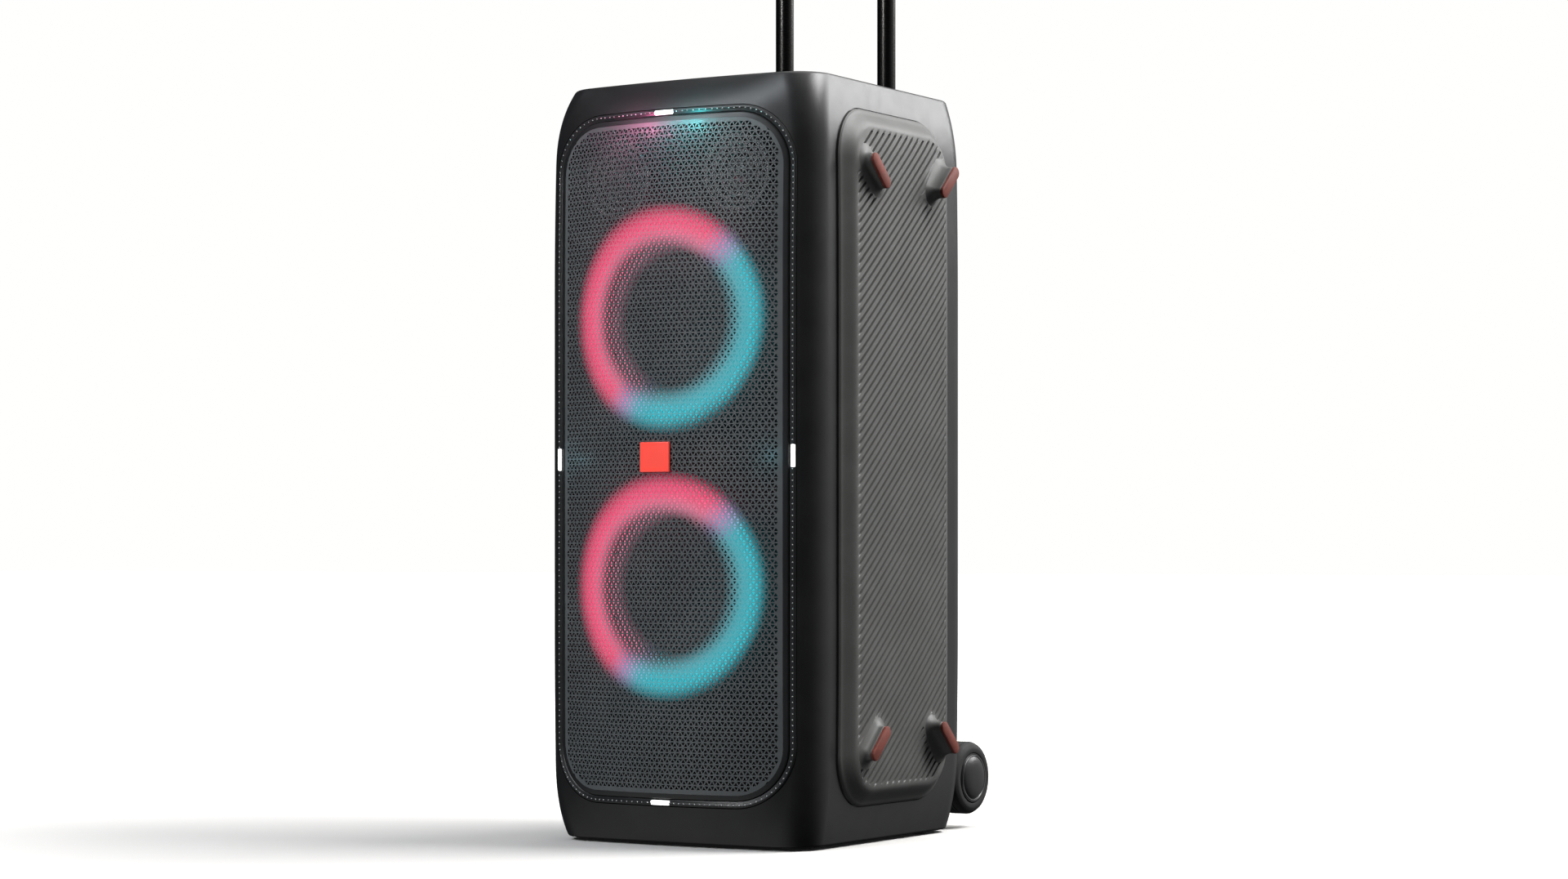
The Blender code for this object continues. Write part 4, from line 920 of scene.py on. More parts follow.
def make_tweeters():
    for name in SIDES:
        node = "tweeter_horn_" + name
        middle = local(node)[2]
        place = (middle.x, BAFFLE_Y, middle.z)
        profile = [(0.037, 0.0060), (0.037, 0.0003), (0.023, 0.0003), (0.0135, 0.0006), (0.0135, 0.0022)]
        for step in range(22):
            share = step / 21
            ridge = 0.0004 if step % 4 < 2 else -0.0004
            profile.append((0.0142 + 0.0165 * share, 0.0024 + 0.0058 * share**1.4 + ridge))
        profile += [(0.0322, 0.0090), (0.0355, 0.0090)]
        plastic = horn_plastic_painted_rings("horn_plastic_painted_rings_" + name, place)
        horn = soften(profile, 0.0006, 2)
        turned("horn_" + name, horn, place, "-Y", plastic, "cabinet", [node])
        dome = [(0.0, 0.0062), (0.003, 0.0060), (0.006, 0.0050), (0.0088, 0.0030), (0.0102, 0.0010)]
        dome += [(0.0105, -0.0003), (0.026, -0.0003), (0.026, -0.030), (0.0, -0.030)]
        node = "tweeter_driver_" + name
        turned("dome_" + name, dome, place, "-Y", STEEL, "cabinet", [node], 56, False)


# Side panels: rows of points that run along the grooves, so that each groove's walls are sharp.
SLOPE = 0.84
PITCH = 0.0089
GROOVE_HALF = 0.00178
GROOVE_DEPTH = 0.0034
FIELD_INSET = 0.0205
BOSS_INSET_Y = 0.0405
BOSS_INSET_Z = 0.057
BOSS_LENGTH = 0.038
BOSS_WIDTH = 0.011
SEAT_X = HALF_WIDTH + PANEL_EDGE + PANEL_RISE + 0.007


def bosses():
    for upper, up in (("upper", 1), ("lower", -1)):
        for end, along in (("front", -1), ("rear", 1)):
            u = along * (PANEL_HALF_LENGTH - BOSS_INSET_Y)
            v = up * (PANEL_HALF_HEIGHT - BOSS_INSET_Z)
            yield f"side_foot_{upper}_{end}", u, v, radians(45 * up * along)


def boss_distance(u, v):
    """The distance from (u, v) to the nearest boss's side wall."""
    nearest = 1.0
    for _, centre_u, centre_v, tilt in bosses():
        du, dv = u - centre_u, v - centre_v
        along = du * cos(tilt) + dv * sin(tilt)
        across = -du * sin(tilt) + dv * cos(tilt)
        past = max(0.0, abs(along) - (BOSS_LENGTH - BOSS_WIDTH) / 2)
        nearest = min(nearest, hypot(past, across) - BOSS_WIDTH / 2)
    return nearest


def panel_height(u, v):
    edge = min(PANEL_HALF_LENGTH - abs(u), PANEL_HALF_HEIGHT - abs(v))
    edge = min(edge, inside(u, v, PANEL_HALF_LENGTH, PANEL_HALF_HEIGHT, PANEL_CORNER))
    ease = smoothstep(edge, 0, PANEL_BAND)
    lip = 0.0012 * smoothstep(edge, 0, 0.0014)
    crown = PANEL_CROWN * (1 - (u / PANEL_HALF_LENGTH) ** 2)
    return PANEL_EDGE - 0.0012 + lip + PANEL_RISE * ease + crown * ease


def make_side_panel(side, name):
    """The crowned panel, grooved inside its plain margin; only the right one has bosses."""
    bossed = side > 0
    offsets = [-1.0, -0.86, -0.72, -0.45, 0.0, 0.45, 0.72, 0.86, 1.0]
    shares = [offset * GROOVE_HALF for offset in offsets] + [PITCH * 0.32, PITCH * 0.5, PITCH * 0.68]
    straight = PANEL_HALF_HEIGHT - PANEL_CORNER + SLOPE * (PANEL_HALF_LENGTH - PANEL_CORNER)
    reach = straight + PANEL_CORNER * sqrt(1 + SLOPE**2)
    first = floor(-reach / PITCH) - 1
    lines = sorted(number * PITCH + share for number in range(first, -first + 1) for share in shares)
    lines = [line for line in lines if abs(line) < reach - 0.004]
    drops = (0.00002, 0.00012, 0.0003, 0.0006, 0.0010, 0.0015, 0.0022, 0.0030, 0.0038)
    ends = [reach - drop for drop in drops]
    lines = sorted([-end for end in ends] + lines + ends)

    def depth(u, line):
        return inside(u, line + SLOPE * u, PANEL_HALF_LENGTH, PANEL_HALF_HEIGHT, PANEL_CORNER)

    def crossing(line):
        """Where the line v = line + SLOPE * u enters and leaves the outline."""
        tries = (PANEL_HALF_LENGTH * i / 400 for i in range(-400, 401))
        deepest = max(tries, key=lambda u: depth(u, line))
        found = []
        for way in (-1, 1):
            near, far = deepest, way * (PANEL_HALF_LENGTH + 0.001)
            for _ in range(30):
                middle = (near + far) / 2
                if depth(middle, line) > 0:
                    near = middle
                else:
                    far = middle
            found.append(near)
        return found

    bm = bmesh.new()
    rows, walls = [], []
    fine_ends = [0, 0.0006, 0.0012, 0.0024, 0.004, 0.006, 0.0085, 0.011]
    fine_ends += [0.0135, 0.016, 0.0185, 0.0205, 0.0222, 0.024]
    across = 40
    for line in lines:
        low, high = crossing(line)
        span = high - low
        if span < 0.0008:
            continue
        squeeze = min(1.0, span / 0.056)
        left = [low + end * squeeze for end in fine_ends]
        right = [high - end * squeeze for end in reversed(fine_ends)]
        middle = [left[-1] + (right[0] - left[-1]) * i / (across + 1) for i in range(1, across + 1)]
        in_groove = min(1.0, abs((line + PITCH / 2) % PITCH - PITCH / 2) / GROOVE_HALF)
        sunk = GROOVE_DEPTH * (1 - smoothstep(in_groove, 0.55, 1.0))
        row = []
        for u in left + middle + right:
            v = line + SLOPE * u
            height = panel_height(u, v)
            margin = inside(u, v, PANEL_HALF_LENGTH, PANEL_HALF_HEIGHT, PANEL_CORNER) - FIELD_INSET
            if sunk and margin > -0.004:
                share = smoothstep(margin, -0.0008, 0.0010)
                if bossed:
                    share *= smoothstep(boss_distance(u, v), 0.0085, 0.0105)
                height -= sunk * share
            if bossed:
                distance = boss_distance(u, v)
                if distance < 0.016:
                    height += 0.0016 * (1 - smoothstep(distance, -0.004, 0.014))
            y, z = PANEL_Y + u, PANEL_Z + v
            row.append(bm.verts.new((side * (side_x(y, z) + height), y, z)))
        rows.append(row)
        wall = []
        for u in (low, high):
            y, z = PANEL_Y + u, PANEL_Z + line + SLOPE * u
            wall.append(bm.verts.new((side * (side_x(y, z) - 0.0014), y, z)))
        walls.append(wall)
    for (lower, wall), (upper, next_wall) in zip(zip(rows, walls), zip(rows[1:], walls[1:])):
        for here in range(len(lower) - 1):
            bm.faces.new((lower[here], lower[here + 1], upper[here + 1], upper[here]))
        bm.faces.new((wall[0], lower[0], upper[0], next_wall[0]))
        bm.faces.new((lower[-1], wall[1], next_wall[1], upper[-1]))
    for row, wall in ((rows[0], walls[0]), (rows[-1], walls[-1])):
        bm.faces.new((wall[0], row[0], row[1]))
        bm.faces.new((wall[0], row[1], wall[1]))
        for here in range(1, len(row) - 1):
            bm.faces.new((row[here], row[here + 1], wall[1]))
    node = "side_panel_" + name
    finish_piece("side_skin_" + name, bm, PANEL_PLASTIC_PAINTED_LIGHTER, "cabinet", [node], 45)


def make_side_feet():
    """Each boss's flared pedestal, and the rubber pad on it."""
    for name, u, v, tilt in bosses():
        y, z = PANEL_Y + u, PANEL_Z + v
        base = side_x(y, z) + panel_height(u, v)

        def ring(grow, x):
            points = stadium(BOSS_LENGTH + 2 * grow, BOSS_WIDTH + 2 * grow)
            made = []
            for a, b in points:
                spot_y = y + a * cos(tilt) - b * sin(tilt)
                spot_z = z + a * sin(tilt) + b * cos(tilt)
                made.append((x, spot_y, spot_z))
            return made

        rings = []
        for step in range(15):
            share = step / 14
            grow = 0.0085 * (1 - share) ** 2.6
            rings.append(ring(grow, base + 0.0002 + (SEAT_X - base - 0.0014) * share**1.05))
        rings.append(ring(-0.0002, SEAT_X - 0.0006))
        rings.append(ring(-0.0007, SEAT_X))
        pedestal = loft_mesh(rings)
        finish_piece(name.replace("side_foot", "boss"), pedestal, PANEL_PLASTIC_PAINTED_LIGHTER, "cabinet")
        levels = ((-0.0004, 0), (0.0, 0.0003), (0.0, 0.0019), (-0.0002, 0.0024), (-0.0007, 0.0027))
        pad = [ring(grow, SEAT_X + GAP + height) for grow, height in levels]
        pad_name = name.replace("side_foot", "side_pad")
        finish_piece(pad_name, loft_mesh(pad), FOOT_RUBBER, "cabinet", [name])


# Top: control panel, buttons and icons.


def ribbon(bm, points, width, z, closed=False, thick=0.00012):
    """A flat raised stroke along points in X and Y."""
    count = len(points)
    left, right = [], []
    for index, (x, y) in enumerate(points):
        if closed:
            before, after = points[index - 1], points[(index + 1) % count]
        else:
            before, after = points[max(0, index - 1)], points[min(count - 1, index + 1)]
        dx, dy = after[0] - before[0], after[1] - before[1]
        length = hypot(dx, dy) or 1.0
        nx, ny = -dy / length * width / 2, dx / length * width / 2
        left.append((x + nx, y + ny))
        right.append((x - nx, y - ny))
    spans = count if closed else count - 1
    low = [[bm.verts.new((*p, z)) for p in edge] for edge in (left, right)]
    high = [[bm.verts.new((*p, z + thick)) for p in edge] for edge in (left, right)]
    for here in range(spans):
        after = (here + 1) % count
        bm.faces.new((high[0][here], high[1][here], high[1][after], high[0][after]))
        bm.faces.new((low[0][here], low[0][after], low[1][after], low[1][here]))
        bm.faces.new((low[0][here], high[0][here], high[0][after], low[0][after]))
        bm.faces.new((low[1][here], low[1][after], high[1][after], high[1][here]))
    if not closed:
        for end in (0, -1):
            bm.faces.new((low[0][end], low[1][end], high[1][end], high[0][end]))


def arc_points(x, y, radius, start, end, steps=20):
    angles = [radians(start + (end - start) * i / steps) for i in range(steps + 1)]
    return [(x + radius * cos(a), y + radius * sin(a)) for a in angles]


def icon(name, kind, x, y, z, body):
    bm = bmesh.new()
    line = 0.0008
    if kind == "power":
        ribbon(bm, arc_points(x, y, 0.0034, 120, 420), line, z)
        ribbon(bm, [(x, y + 0.0012), (x, y + 0.0046)], line, z)
    elif kind == "bluetooth":
        for radius in (0.0018, 0.0034, 0.0050):
            ribbon(bm, arc_points(x, y - 0.0026, radius, 50, 130, 12), line, z)
    elif kind == "light":
        ribbon(bm, arc_points(x, y, 0.0018, 0, 345, 16), line, z)
        for turn in range(8):
            angle = pi * turn / 4
            ray = [(x + reach * cos(angle), y + reach * sin(angle)) for reach in (0.003, 0.0046)]
            ribbon(bm, ray, line, z)
    elif kind == "play":
        ribbon(bm, [(x - 0.0022, y + 0.0036), (x - 0.0022, y - 0.0036), (x + 0.0042, y)], line, z, True)
    else:
        ribbon(bm, [(x - 0.0036, y), (x + 0.0036, y)], line, z)
        if kind == "volume_up":
            for way in (1, -1):
                ribbon(bm, [(x, y + way * 0.0004), (x, y + way * 0.0036)], line, z)
    finish_piece(name, bm, ICON_INK, body, sharp=30)


BUTTONS = ("power", "bluetooth", "light", "volume_down", "play", "volume_up")


def make_top():
    """The control panel, with its dish, its groove, six buttons and a row of level lights."""
    half_x, half_y = (TOP_HIGH.x - TOP_LOW.x) / 2, (TOP_HIGH.y - TOP_LOW.y) / 2
    rings = []
    for inset, height in ((0.0004, 0.0), (0.0, 0.0004), (0.0, 0.0022), (0.0004, 0.0028), (0.0012, 0.0030)):
        points = outline(half_x - inset, half_y - inset, TOP_CORNER - inset)
        rings.append([(u, TOP_MIDDLE.y + v, TOP_LOW.z + height) for u, v in points])
    row_y = local("power_button")[2].y
    above = TOP_HIGH.z + 0.01
    dish = outline(half_x - 0.012, 0.0185, 0.0185)
    groove = outline(half_x - 0.030, 0.0045, 0.0045)
    tools = [
        prism_z(dish, 0, row_y, TOP_HIGH.z - 0.0008, above),
        prism_z(groove, 0, TOP_HIGH.y - 0.060, TOP_HIGH.z - 0.0016, above),
    ]
    keys = {name: local(name + "_button") for name in BUTTONS}
    for low, high, middle in keys.values():
        hole = circle((high.x - low.x) / 2 + 0.0004)
        tools.append(prism_z(hole, middle.x, middle.y, TOP_LOW.z - 0.01, above))
    deck = carve(loft_mesh(rings), tools)
    finish_piece("top_deck", deck, BUTTON_PLASTIC, "cabinet", ["top_panel"], 30)
    for name, (low, high, middle) in keys.items():
        radius, tall = (high.x - low.x) / 2, high.z - low.z
        profile = [(0.0, tall - 0.0007), (radius * 0.55, tall - 0.0006), (radius * 0.86, tall - 0.0001)]
        profile += [(radius * 0.93, tall), (radius * 0.985, tall - 0.0004), (radius, tall - 0.0010)]
        profile += [(radius, 0.0), (0.0, 0.0)]
        node = name + "_button"
        body = node + "_body"
        place = (middle.x, middle.y, low.z)
        turned("key_" + name, profile, place, "+Z", BUTTON_PLASTIC, body, [node], 64, False)
        icon("icon_" + name, name, middle.x, middle.y, high.z - 0.0007, body)
    dot = [(0.0, 0.0003), (0.0007, 0.00028), (0.0010, 0.0), (0.0, -0.0004)]
    for number in range(5):
        spot = ((number - 2) * 0.007, row_y - 0.0245, TOP_HIGH.z)
        bm = turned_mesh(dot, spot, "+Z", 20, False)
        finish_piece(f"level_light_{number}", bm, STATUS_LIGHT, "cabinet")


def make_handle():
    """Both poles and the collars they slide in, then the grip."""
    for name, (low, high, middle) in POLES.items():
        tall = high.z - low.z
        profile = soften([(0.0, tall), (POLE_RADIUS, tall), (POLE_RADIUS, 0.0), (0.0, 0.0)], 0.0006, 3, False)
        pole = turned_mesh(profile, (middle.x, middle.y, low.z), "+Z", 72, False)
        node = "handle_pole_" + name
        finish_piece("pole_" + name, pole, POLE_METAL, "handle", [node])
        node = "pole_guide_" + name
        low, high, middle = local(node)
        guide = [
            (0.0117, high.z), (0.0117, HEIGHT + GAP), (GUIDE_RADIUS, HEIGHT + GAP), (GUIDE_RADIUS, low.z),
            (0.0091, low.z), (0.0091, high.z - 0.0008), (0.0097, high.z),
        ]
        collar = turned_mesh(soften(guide, 0.0006), (middle.x, middle.y, 0), "+Z")
        finish_piece("collar_" + name, collar, BEZEL_PLASTIC, "cabinet", [node])
    make_grip()


GRIP_END = 0.010
GRIP_SIDES = 44
FINGER_REACH = 0.044


def make_grip():
    """The grip, rounded off at its ends, with fine ribs under the fingers and the release key in its top."""
    low, high, middle = local("handle_grip")
    half = (high.x - low.x) / 2
    rings = []
    stations = 97
    for number in range(stations):
        x = half * (2 * number / (stations - 1) - 1)
        end = max(0.0, (abs(x) - (half - GRIP_END)) / GRIP_END)
        shrink = sqrt(max(0.0, 1 - end**2.2)) * 0.94 + 0.06
        ring = []
        for step in range(GRIP_SIDES):
            angle = 2 * pi * step / GRIP_SIDES
            c, s = cos(angle), sin(angle)
            y = 0.013 * shrink * copysign(abs(c) ** 0.62, c)
            z = 0.012 * shrink * copysign(abs(s) ** 0.62, s)
            if s < 0 and abs(x) < FINGER_REACH:
                fade = smoothstep(FINGER_REACH - abs(x), 0, 0.006)
                z += 0.0008 * fade * (0.5 + 0.5 * cos(2 * pi * x / 0.008)) * abs(s)
            ring.append((x, middle.y + y, middle.z + z))
        rings.append(ring)
    well = rounded_box_mesh((0.0348, 0.0128, 0.012), (0, middle.y, high.z), 0.001, 2)
    grip = carve(loft_mesh(rings), [well])
    finish_piece("grip_bar", grip, GRIP_PLASTIC, "handle", ["handle_grip"], 40)
    low, high, middle = local("release_button")
    key = rounded_box_mesh(high - low, middle, 0.0016, 5)
    finish_piece("release_key", key, BUTTON_PLASTIC, "release", ["release_button"])
    bm = bmesh.new()
    for number in range(5):
        x = (number - 2) * 0.004
        ribbon(bm, [(x, middle.y - 0.0035), (x, middle.y + 0.0035)], 0.0012, high.z - 0.0002, thick=0.0002)
    finish_piece("release_ribs", bm, BUTTON_PLASTIC, "release")


TYRE_RADIUS = 0.0345
TREAD_RADIUS = 0.0337
SHOULDER_RADIUS = 0.0325
AXLE_HOLE = 0.0043


def make_tyre(name, half, place, facing, body):
    """A tyre with five blocks across its tread."""
    tread = [(0.0285, half), (SHOULDER_RADIUS, half - 0.0020)]
    for number in range(5):
        start = half - 0.0058 - number * 0.0035
        tread += [(TYRE_RADIUS, start), (TYRE_RADIUS, start - 0.0023)]
        tread += [(TREAD_RADIUS, start - 0.0026), (TREAD_RADIUS, start - 0.0032)]
    tread = tread[:-2] + [(TYRE_RADIUS, 0.0060 - half), (SHOULDER_RADIUS, 0.0020 - half), (0.0285, -half)]
    tread += [(0.0238, -half), (0.0238, half)]
    bm = turned_mesh(soften(tread, 0.0010, 2), place, facing, 96)
    finish_piece("tyre_" + name, bm, TYRE_RUBBER, body, ["wheel_tyre_" + name])


def make_hub(name, half, place, facing, body):
    hub = [
        (0.0, half + 0.0040), (0.006, half + 0.0039), (0.0118, half + 0.0034), (0.0165, half + 0.0024),
        (0.0192, half + 0.0012), (0.0202, half + 0.0004), (0.0212, half + 0.0002), (0.0228, half + 0.0004),
        (0.0235, half - 0.0006), (0.0235, 0.001 - half), (AXLE_HOLE, 0.001 - half), (AXLE_HOLE, half - 0.004),
        (0.0, half - 0.004),
    ]
    bm = turned_mesh(hub, place, facing, 96, False)
    finish_piece("hub_" + name, bm, CABINET_PLASTIC, body, ["wheel_hub_" + name])
    trim = [(0.0206, 0.0009), (0.0214, 0.0010), (0.0217, 0.0004), (0.0203, 0.0003)]
    line = turned_mesh([(radius, half + out) for radius, out in trim], place, facing, 96)
    finish_piece("hub_line_" + name, line, HUB_TRIM, body)


def make_wheels():
    for name, side in SIDES.items():
        low, high, middle = local("wheel_tyre_" + name)
        facing = "+X" if side > 0 else "-X"
        for make in (make_tyre, make_hub):
            make(name, (high.x - low.x) / 2, middle, facing, "wheel_" + name)
    low, high, middle = local("axle_carrier")
    tools = []
    for number in range(7):
        spot = ((number - 3) * 0.0235, high.y, middle.z)
        tools.append(rounded_box_mesh((0.014, 0.006, 0.016), spot, 0.0020, 3))
    hole = [(AXLE_HOLE, -0.02), (AXLE_HOLE, 0.02), (0.0, 0.02), (0.0, -0.02)]
    for side in SIDES.values():
        tools.append(turned_mesh(hole, (side * high.x, 0.198, middle.z), "+X", 32, False))
    beam = carve(rounded_box_mesh(high - low, middle, 0.0045, 5), tools)
    finish_piece("axle_beam", beam, CABINET_PLASTIC, "cabinet", ["axle_carrier"], 30)


def make_feet():
    for end in ("front", "rear"):
        for name in SIDES:
            node = f"base_foot_{end}_{name}"
            low, high, middle = local(node)
            tall = high.z - low.z
            profile = [(0.0, tall), (0.0138, tall), (0.0140, 0.0006), (0.0132, 0.0), (0.0085, 0.0)]
            profile += [(0.0078, 0.0006), (0.0, 0.0006)]
            foot = turned_mesh(profile, (middle.x, middle.y, low.z), "+Z", 56, False)
            finish_piece(f"foot_{end}_{name}", foot, BLACK_RUBBER, "cabinet", [node])


REAR_SCREWS = ((0.095, 0.640), (0.098, 0.350), (0.095, 0.110))


def make_rear_plate():
    """The connection panel with two jacks, two data sockets and a screw in each corner."""
    half_x, half_z = (IO_HIGH.x - IO_LOW.x) / 2, (IO_HIGH.z - IO_LOW.z) / 2
    rings = []
    for inset, depth in ((0.0, 0.0), (0.0, 0.0104), (0.0005, 0.0110)):
        points = outline(half_x - inset, half_z - inset, IO_CORNER - inset)
        rings.append([(u, IO_LOW.y + depth, IO_MIDDLE.z + v) for u, v in points])
    face = IO_HIGH.y
    row_z = local("port_cover")[2].z
    jack_hole = circle(0.0046, 40)
    data_hole = outline(0.0066, 0.0032, 0.0008, 4, 4, 4)
    jack = soften([(0.0044, 0.0), (0.0044, -0.006), (0.0031, -0.006), (0.0031, 0.0)], 0.0003, 2)
    tools = []
    for number, x in enumerate((-0.036, -0.012, 0.012, 0.036)):
        is_jack = number < 2
        tools.append(prism_y(jack_hole if is_jack else data_hole, x, row_z, face - 0.008, face + 0.01))
        if is_jack:
            bm = turned_mesh(jack, (x, face - 0.0004, row_z), "+Y", 48)
            finish_piece(f"jack_{number}", bm, STEEL, "cabinet")
        else:
            bm = rounded_box_mesh((0.0100, 0.006, 0.0016), (x, face - 0.0045, row_z), 0.0003)
            finish_piece(f"data_tongue_{number}", bm, ICON_INK, "cabinet")
    for name, side in SIDES.items():
        for level, up in (("upper", 1), ("lower", -1)):
            spot = (side * (half_x - 0.007), face, IO_MIDDLE.z + up * (half_z - 0.007))
            make_screw(f"panel_screw_{name}_{level}", spot, "+Y", 0.0026)
    panel = carve(loft_mesh(rings), tools)
    finish_piece("rear_plate", panel, PANEL_PLASTIC_PAINTED_LIGHTER, "cabinet", ["connection_panel"], 30)


def make_flap():
    low, high, middle = local("port_cover")
    notch = prism_y(circle(0.006, 40), 0, low.z - 0.0015, IO_HIGH.y, IO_HIGH.y + 0.01)
    flap = carve(rounded_box_mesh(high - low, middle, 0.0009, 3), [notch])
    finish_piece("socket_flap", flap, BLACK_RUBBER, "cover", ["port_cover"], 30)


def knurl(angle):
    """24 shallow scallops round a knob, as a share of its radius."""
    return 1 - 0.030 * (0.5 + 0.5 * cos(24 * angle))


def make_knobs():
    for name in SIDES:
        node = "gain_knob_" + name
        low, high, middle = local(node)
        tall = high.y - low.y
        radius = (high.x - low.x) / 2
        profile = [(0.0, tall), (radius * 0.80, tall), (radius * 0.88, tall - 0.0006), (radius, 0.0012)]
        profile += [(radius, 0.0), (0.0, 0.0)]
        body = "knob_" + name
        knob = turned_mesh(profile, (middle.x, low.y, middle.z), "+Y", 144, False, knurl)
        finish_piece(body, knob, BUTTON_PLASTIC, body, [node])
        spot = (middle.x, high.y - 0.0001, middle.z + radius * 0.45)
        pointer = rounded_box_mesh((0.0010, 0.0004, 0.0050), spot, 0.0001, 2)
        finish_piece("pointer_" + name, pointer, ICON_INK, body)


def make_port():
    lip = local("reflex_port")[1].y - 0.0025
    flare = [(0.0380, 0.0022), (0.0380, 0.0), (PORT_RADIUS + PORT_WALL, 0.0)]
    flare += [(PORT_RADIUS + PORT_WALL, -0.110), (PORT_RADIUS, -0.110), (PORT_RADIUS, -0.016)]
    for step in range(13):
        angle = pi / 2 * step / 12
        flare.append((PORT_RADIUS + 0.0072 * (1 - cos(angle)), -0.0120 + 0.0145 * sin(angle)))
    tube = turned_mesh(flare, (0, lip, PORT_MIDDLE.z), "+Y", 112)
    finish_piece("port_tube", tube, BEZEL_PLASTIC, "cabinet", ["reflex_port"])


def make_rear():
    for make in (make_rear_plate, make_flap, make_knobs, make_inlet, make_port):
        make()
    places = [(side * x, z) for x, z in REAR_SCREWS for side in SIDES.values()]
    for number, (x, z) in enumerate(places):
        make_screw(f"rear_screw_{number}", (x, rear_y(z) - 0.0003, z), "+Y", 0.0036)


def make_inlet():
    low, high, middle = INLET_LOW, INLET_HIGH, INLET_MIDDLE
    mouth = [(-0.0135, -0.0060), (-0.0095, -0.0088), (0.0095, -0.0088), (0.0135, -0.0060)]
    mouth += [(0.0135, 0.0088), (-0.0135, 0.0088)]
    socket = prism_y(mouth, middle.x, middle.z, low.y + 0.004, high.y + 0.01)
    block = carve(rounded_box_mesh(high - low, middle, 0.0008, 2), [socket])
    finish_piece("inlet_block", block, BEZEL_PLASTIC, "cabinet", ["mains_inlet"], 30)
    for number, x in enumerate((-0.0055, 0.0055)):
        spot = (middle.x + x, low.y + 0.0095, middle.z)
        pin = rounded_box_mesh((0.0020, 0.012, 0.0042), spot, 0.0005, 3)
        finish_piece(f"inlet_pin_{number}", pin, STEEL, "cabinet")


def finish_kept_nodes():
    """Better materials on the CAD nodes that stay."""
    kept = {
        "baffle": CABINET_PLASTIC,
        "battery_pack": BLUE_WRAP,
        "amplifier_board": GREEN_BOARD,
        "woofer_magnet_lower": STEEL,
        "woofer_magnet_upper": STEEL,
        "wheel_axle": STEEL,
    }
    for name, material in kept.items():
        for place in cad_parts[name].material_slots:
            place.material = material


def area_light(name, place, target, size, power, colour=(1, 1, 1)):
    data = bpy.data.lights.new(name, "AREA")
    data.shape = "RECTANGLE"
    data.size, data.size_y = size
    data.energy = power
    data.color = colour
    light = bpy.data.objects.new(name, data)
    light.location = place
    light.rotation_euler = (Vector(target) - Vector(place)).to_track_quat("-Z", "Y").to_euler()
    bpy.context.scene.collection.objects.link(light)


def small_light(name, place, power, colour, radius=0.004):
    data = bpy.data.lights.new(name, "POINT")
    data.energy = power
    data.color = colour
    data.shadow_soft_size = radius
    light = bpy.data.objects.new(name, data)
    light.location = Vector(place) + OFFSET
    bpy.context.scene.collection.objects.link(light)


SWEEP_START = 0.55
SWEEP_END = 2.2
WHITE = (1.0, 1.0, 0.99, 1)


def make_floor():
    """A pale floor that fades to the background's white away from the object."""
    bm = bmesh.new()
    bmesh.ops.create_grid(bm, x_segments=1, y_segments=1, size=40)
    mesh = bpy.data.meshes.new("floor")
    bm.to_mesh(mesh)
    bm.free()
    shader = Shader("studio_floor")
    tone = shader.remap(shader.noise(2.0, 3), 0.3, 0.7)
    shader.set(Base_Color=shader.mix(tone, (0.82, 0.805, 0.785, 1), (0.84, 0.825, 0.805, 1)), Roughness=0.9)
    away = shader.vector("LENGTH", shader.coord, output="Value")
    shader.set(Emission_Color=WHITE, Emission_Strength=shader.remap(away, SWEEP_START, SWEEP_END))
    mesh.materials.append(shader.material)
    floor_object = bpy.data.objects.new("floor", mesh)
    bpy.context.scene.collection.objects.link(floor_object)
    floor_object.visible_glossy = False
    floor_object.visible_diffuse = False


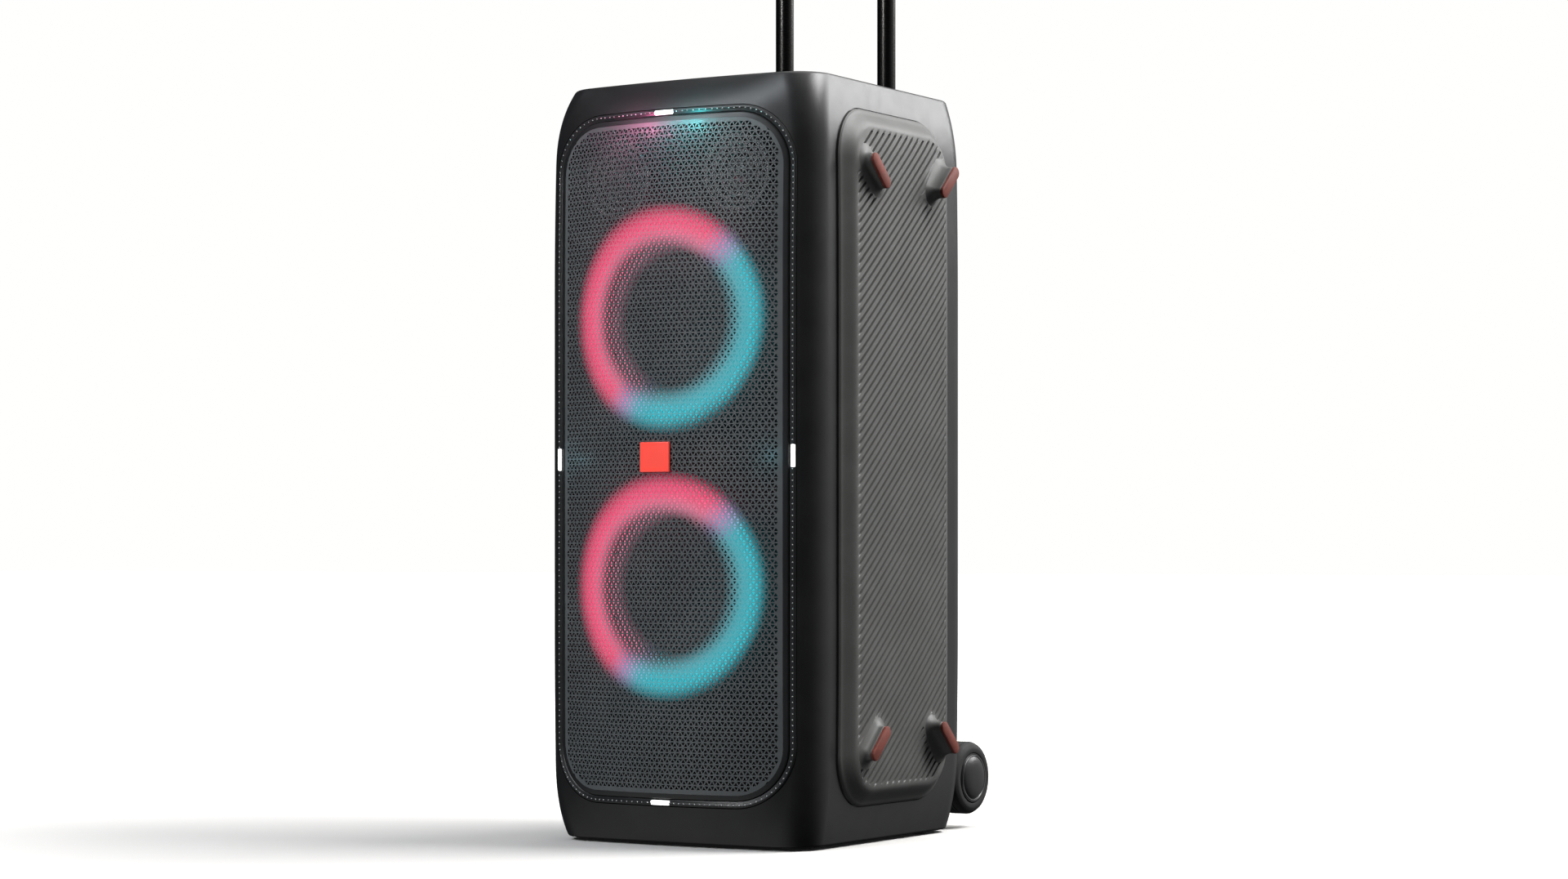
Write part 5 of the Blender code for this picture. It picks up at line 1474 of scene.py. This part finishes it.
def make_world():
    """White to the camera; to the object a dim glow from the rear right and a bounce from below the front."""
    world = bpy.data.worlds.new("studio")
    bpy.context.scene.world = world
    world.use_nodes = True
    nodes = Nodes(world.node_tree)
    way = nodes.node("TexCoord").outputs["Generated"]
    towards = nodes.vector("DOT_PRODUCT", way, (0.52, 0.72, 0.46), output="Value")
    ramp = nodes.node("ValToRGB", {"Fac": towards})
    ramp.color_ramp.interpolation = "EASE"
    first, last = ramp.color_ramp.elements
    first.position, first.color = 0.30, (0.020, 0.022, 0.024, 1)
    last.position, last.color = 1.0, (0.45, 0.45, 0.45, 1)
    below = nodes.vector("DOT_PRODUCT", way, (-0.36, -0.58, -0.73), output="Value")
    bounce = nodes.remap(below, 0.55, 1.0, 0.0, 0.42)
    glow = nodes.vector("ADD", ramp.outputs["Color"], bounce)
    seen = nodes.node("LightPath").outputs["Is Camera Ray"]
    background = nodes.tree.nodes["Background"]
    nodes.give(background.inputs["Strength"], 1.0)
    nodes.give(background.inputs["Color"], nodes.mix(seen, glow, WHITE))


def make_lights():
    """Large soft lights to the rear right, a fill, and the strobes' own coloured spill."""
    area_light("key", (1.75, 3.15, 2.45), (0.1, 0, 0.45), (2.1, 2.2), 115)
    area_light("side", (2.1, 1.1, 3.3), (0.1, 0, 0.35), (1.5, 1.5), 130)
    area_light("fill", (-1.3, -2.3, 3.1), (0, 0, 0.4), (1.5, 1.5), 62, (0.90, 0.95, 1.0))
    area_light("pole_streak", (-0.42, -2.85, 1.45), (0, 0.1, 0.85), (0.22, 0.6), 20)
    area_light("overhead", (0.2, 0.9, 3.2), (0, 0.3, 0), (3.0, 3.0), 46)
    z = local("strobe_lens_top")[2].z
    for name, x, colour in (("pink", -0.030, (1.0, 0.16, 0.42)), ("teal", 0.026, (0.05, 0.75, 0.80))):
        small_light("strobe_spill_" + name, (x, front_curve(x, z) - 0.030, z + 0.006), 0.10, colour)
    for name, side in SIDES.items():
        middle = local("strobe_lens_" + name)[2]
        small_light("side_spill_" + name, (side * 0.112, middle.y - 0.022, middle.z), 0.004, (0.25, 0.7, 0.8))


CAMERA_PLACE = (1.808, -2.734, 0.260)
CAMERA_TURN = 33.0
CAMERA_LENS = 81.3
CAMERA_SHIFT = 0.074


def make_camera():
    data = bpy.data.cameras.new("camera")
    data.lens = CAMERA_LENS
    data.sensor_width = 36.0
    data.shift_y = CAMERA_SHIFT
    camera = bpy.data.objects.new("camera", data)
    camera.location = Vector(CAMERA_PLACE) + OFFSET
    camera.rotation_euler = (radians(90), 0, radians(CAMERA_TURN))
    bpy.context.scene.collection.objects.link(camera)
    bpy.context.scene.camera = camera


make_camera()
make_cabinet()
make_bezel()
make_rim_dots()
make_grille()
make_badge()
make_rings_and_woofers()
make_tweeters()
for side_name, side in SIDES.items():
    make_side_panel(side, side_name)
make_side_feet()
make_top()
make_handle()
make_wheels()
make_feet()
make_rear()
finish_kept_nodes()
make_floor()
make_world()
make_lights()
bpy.context.scene.view_settings.view_transform = "Standard"
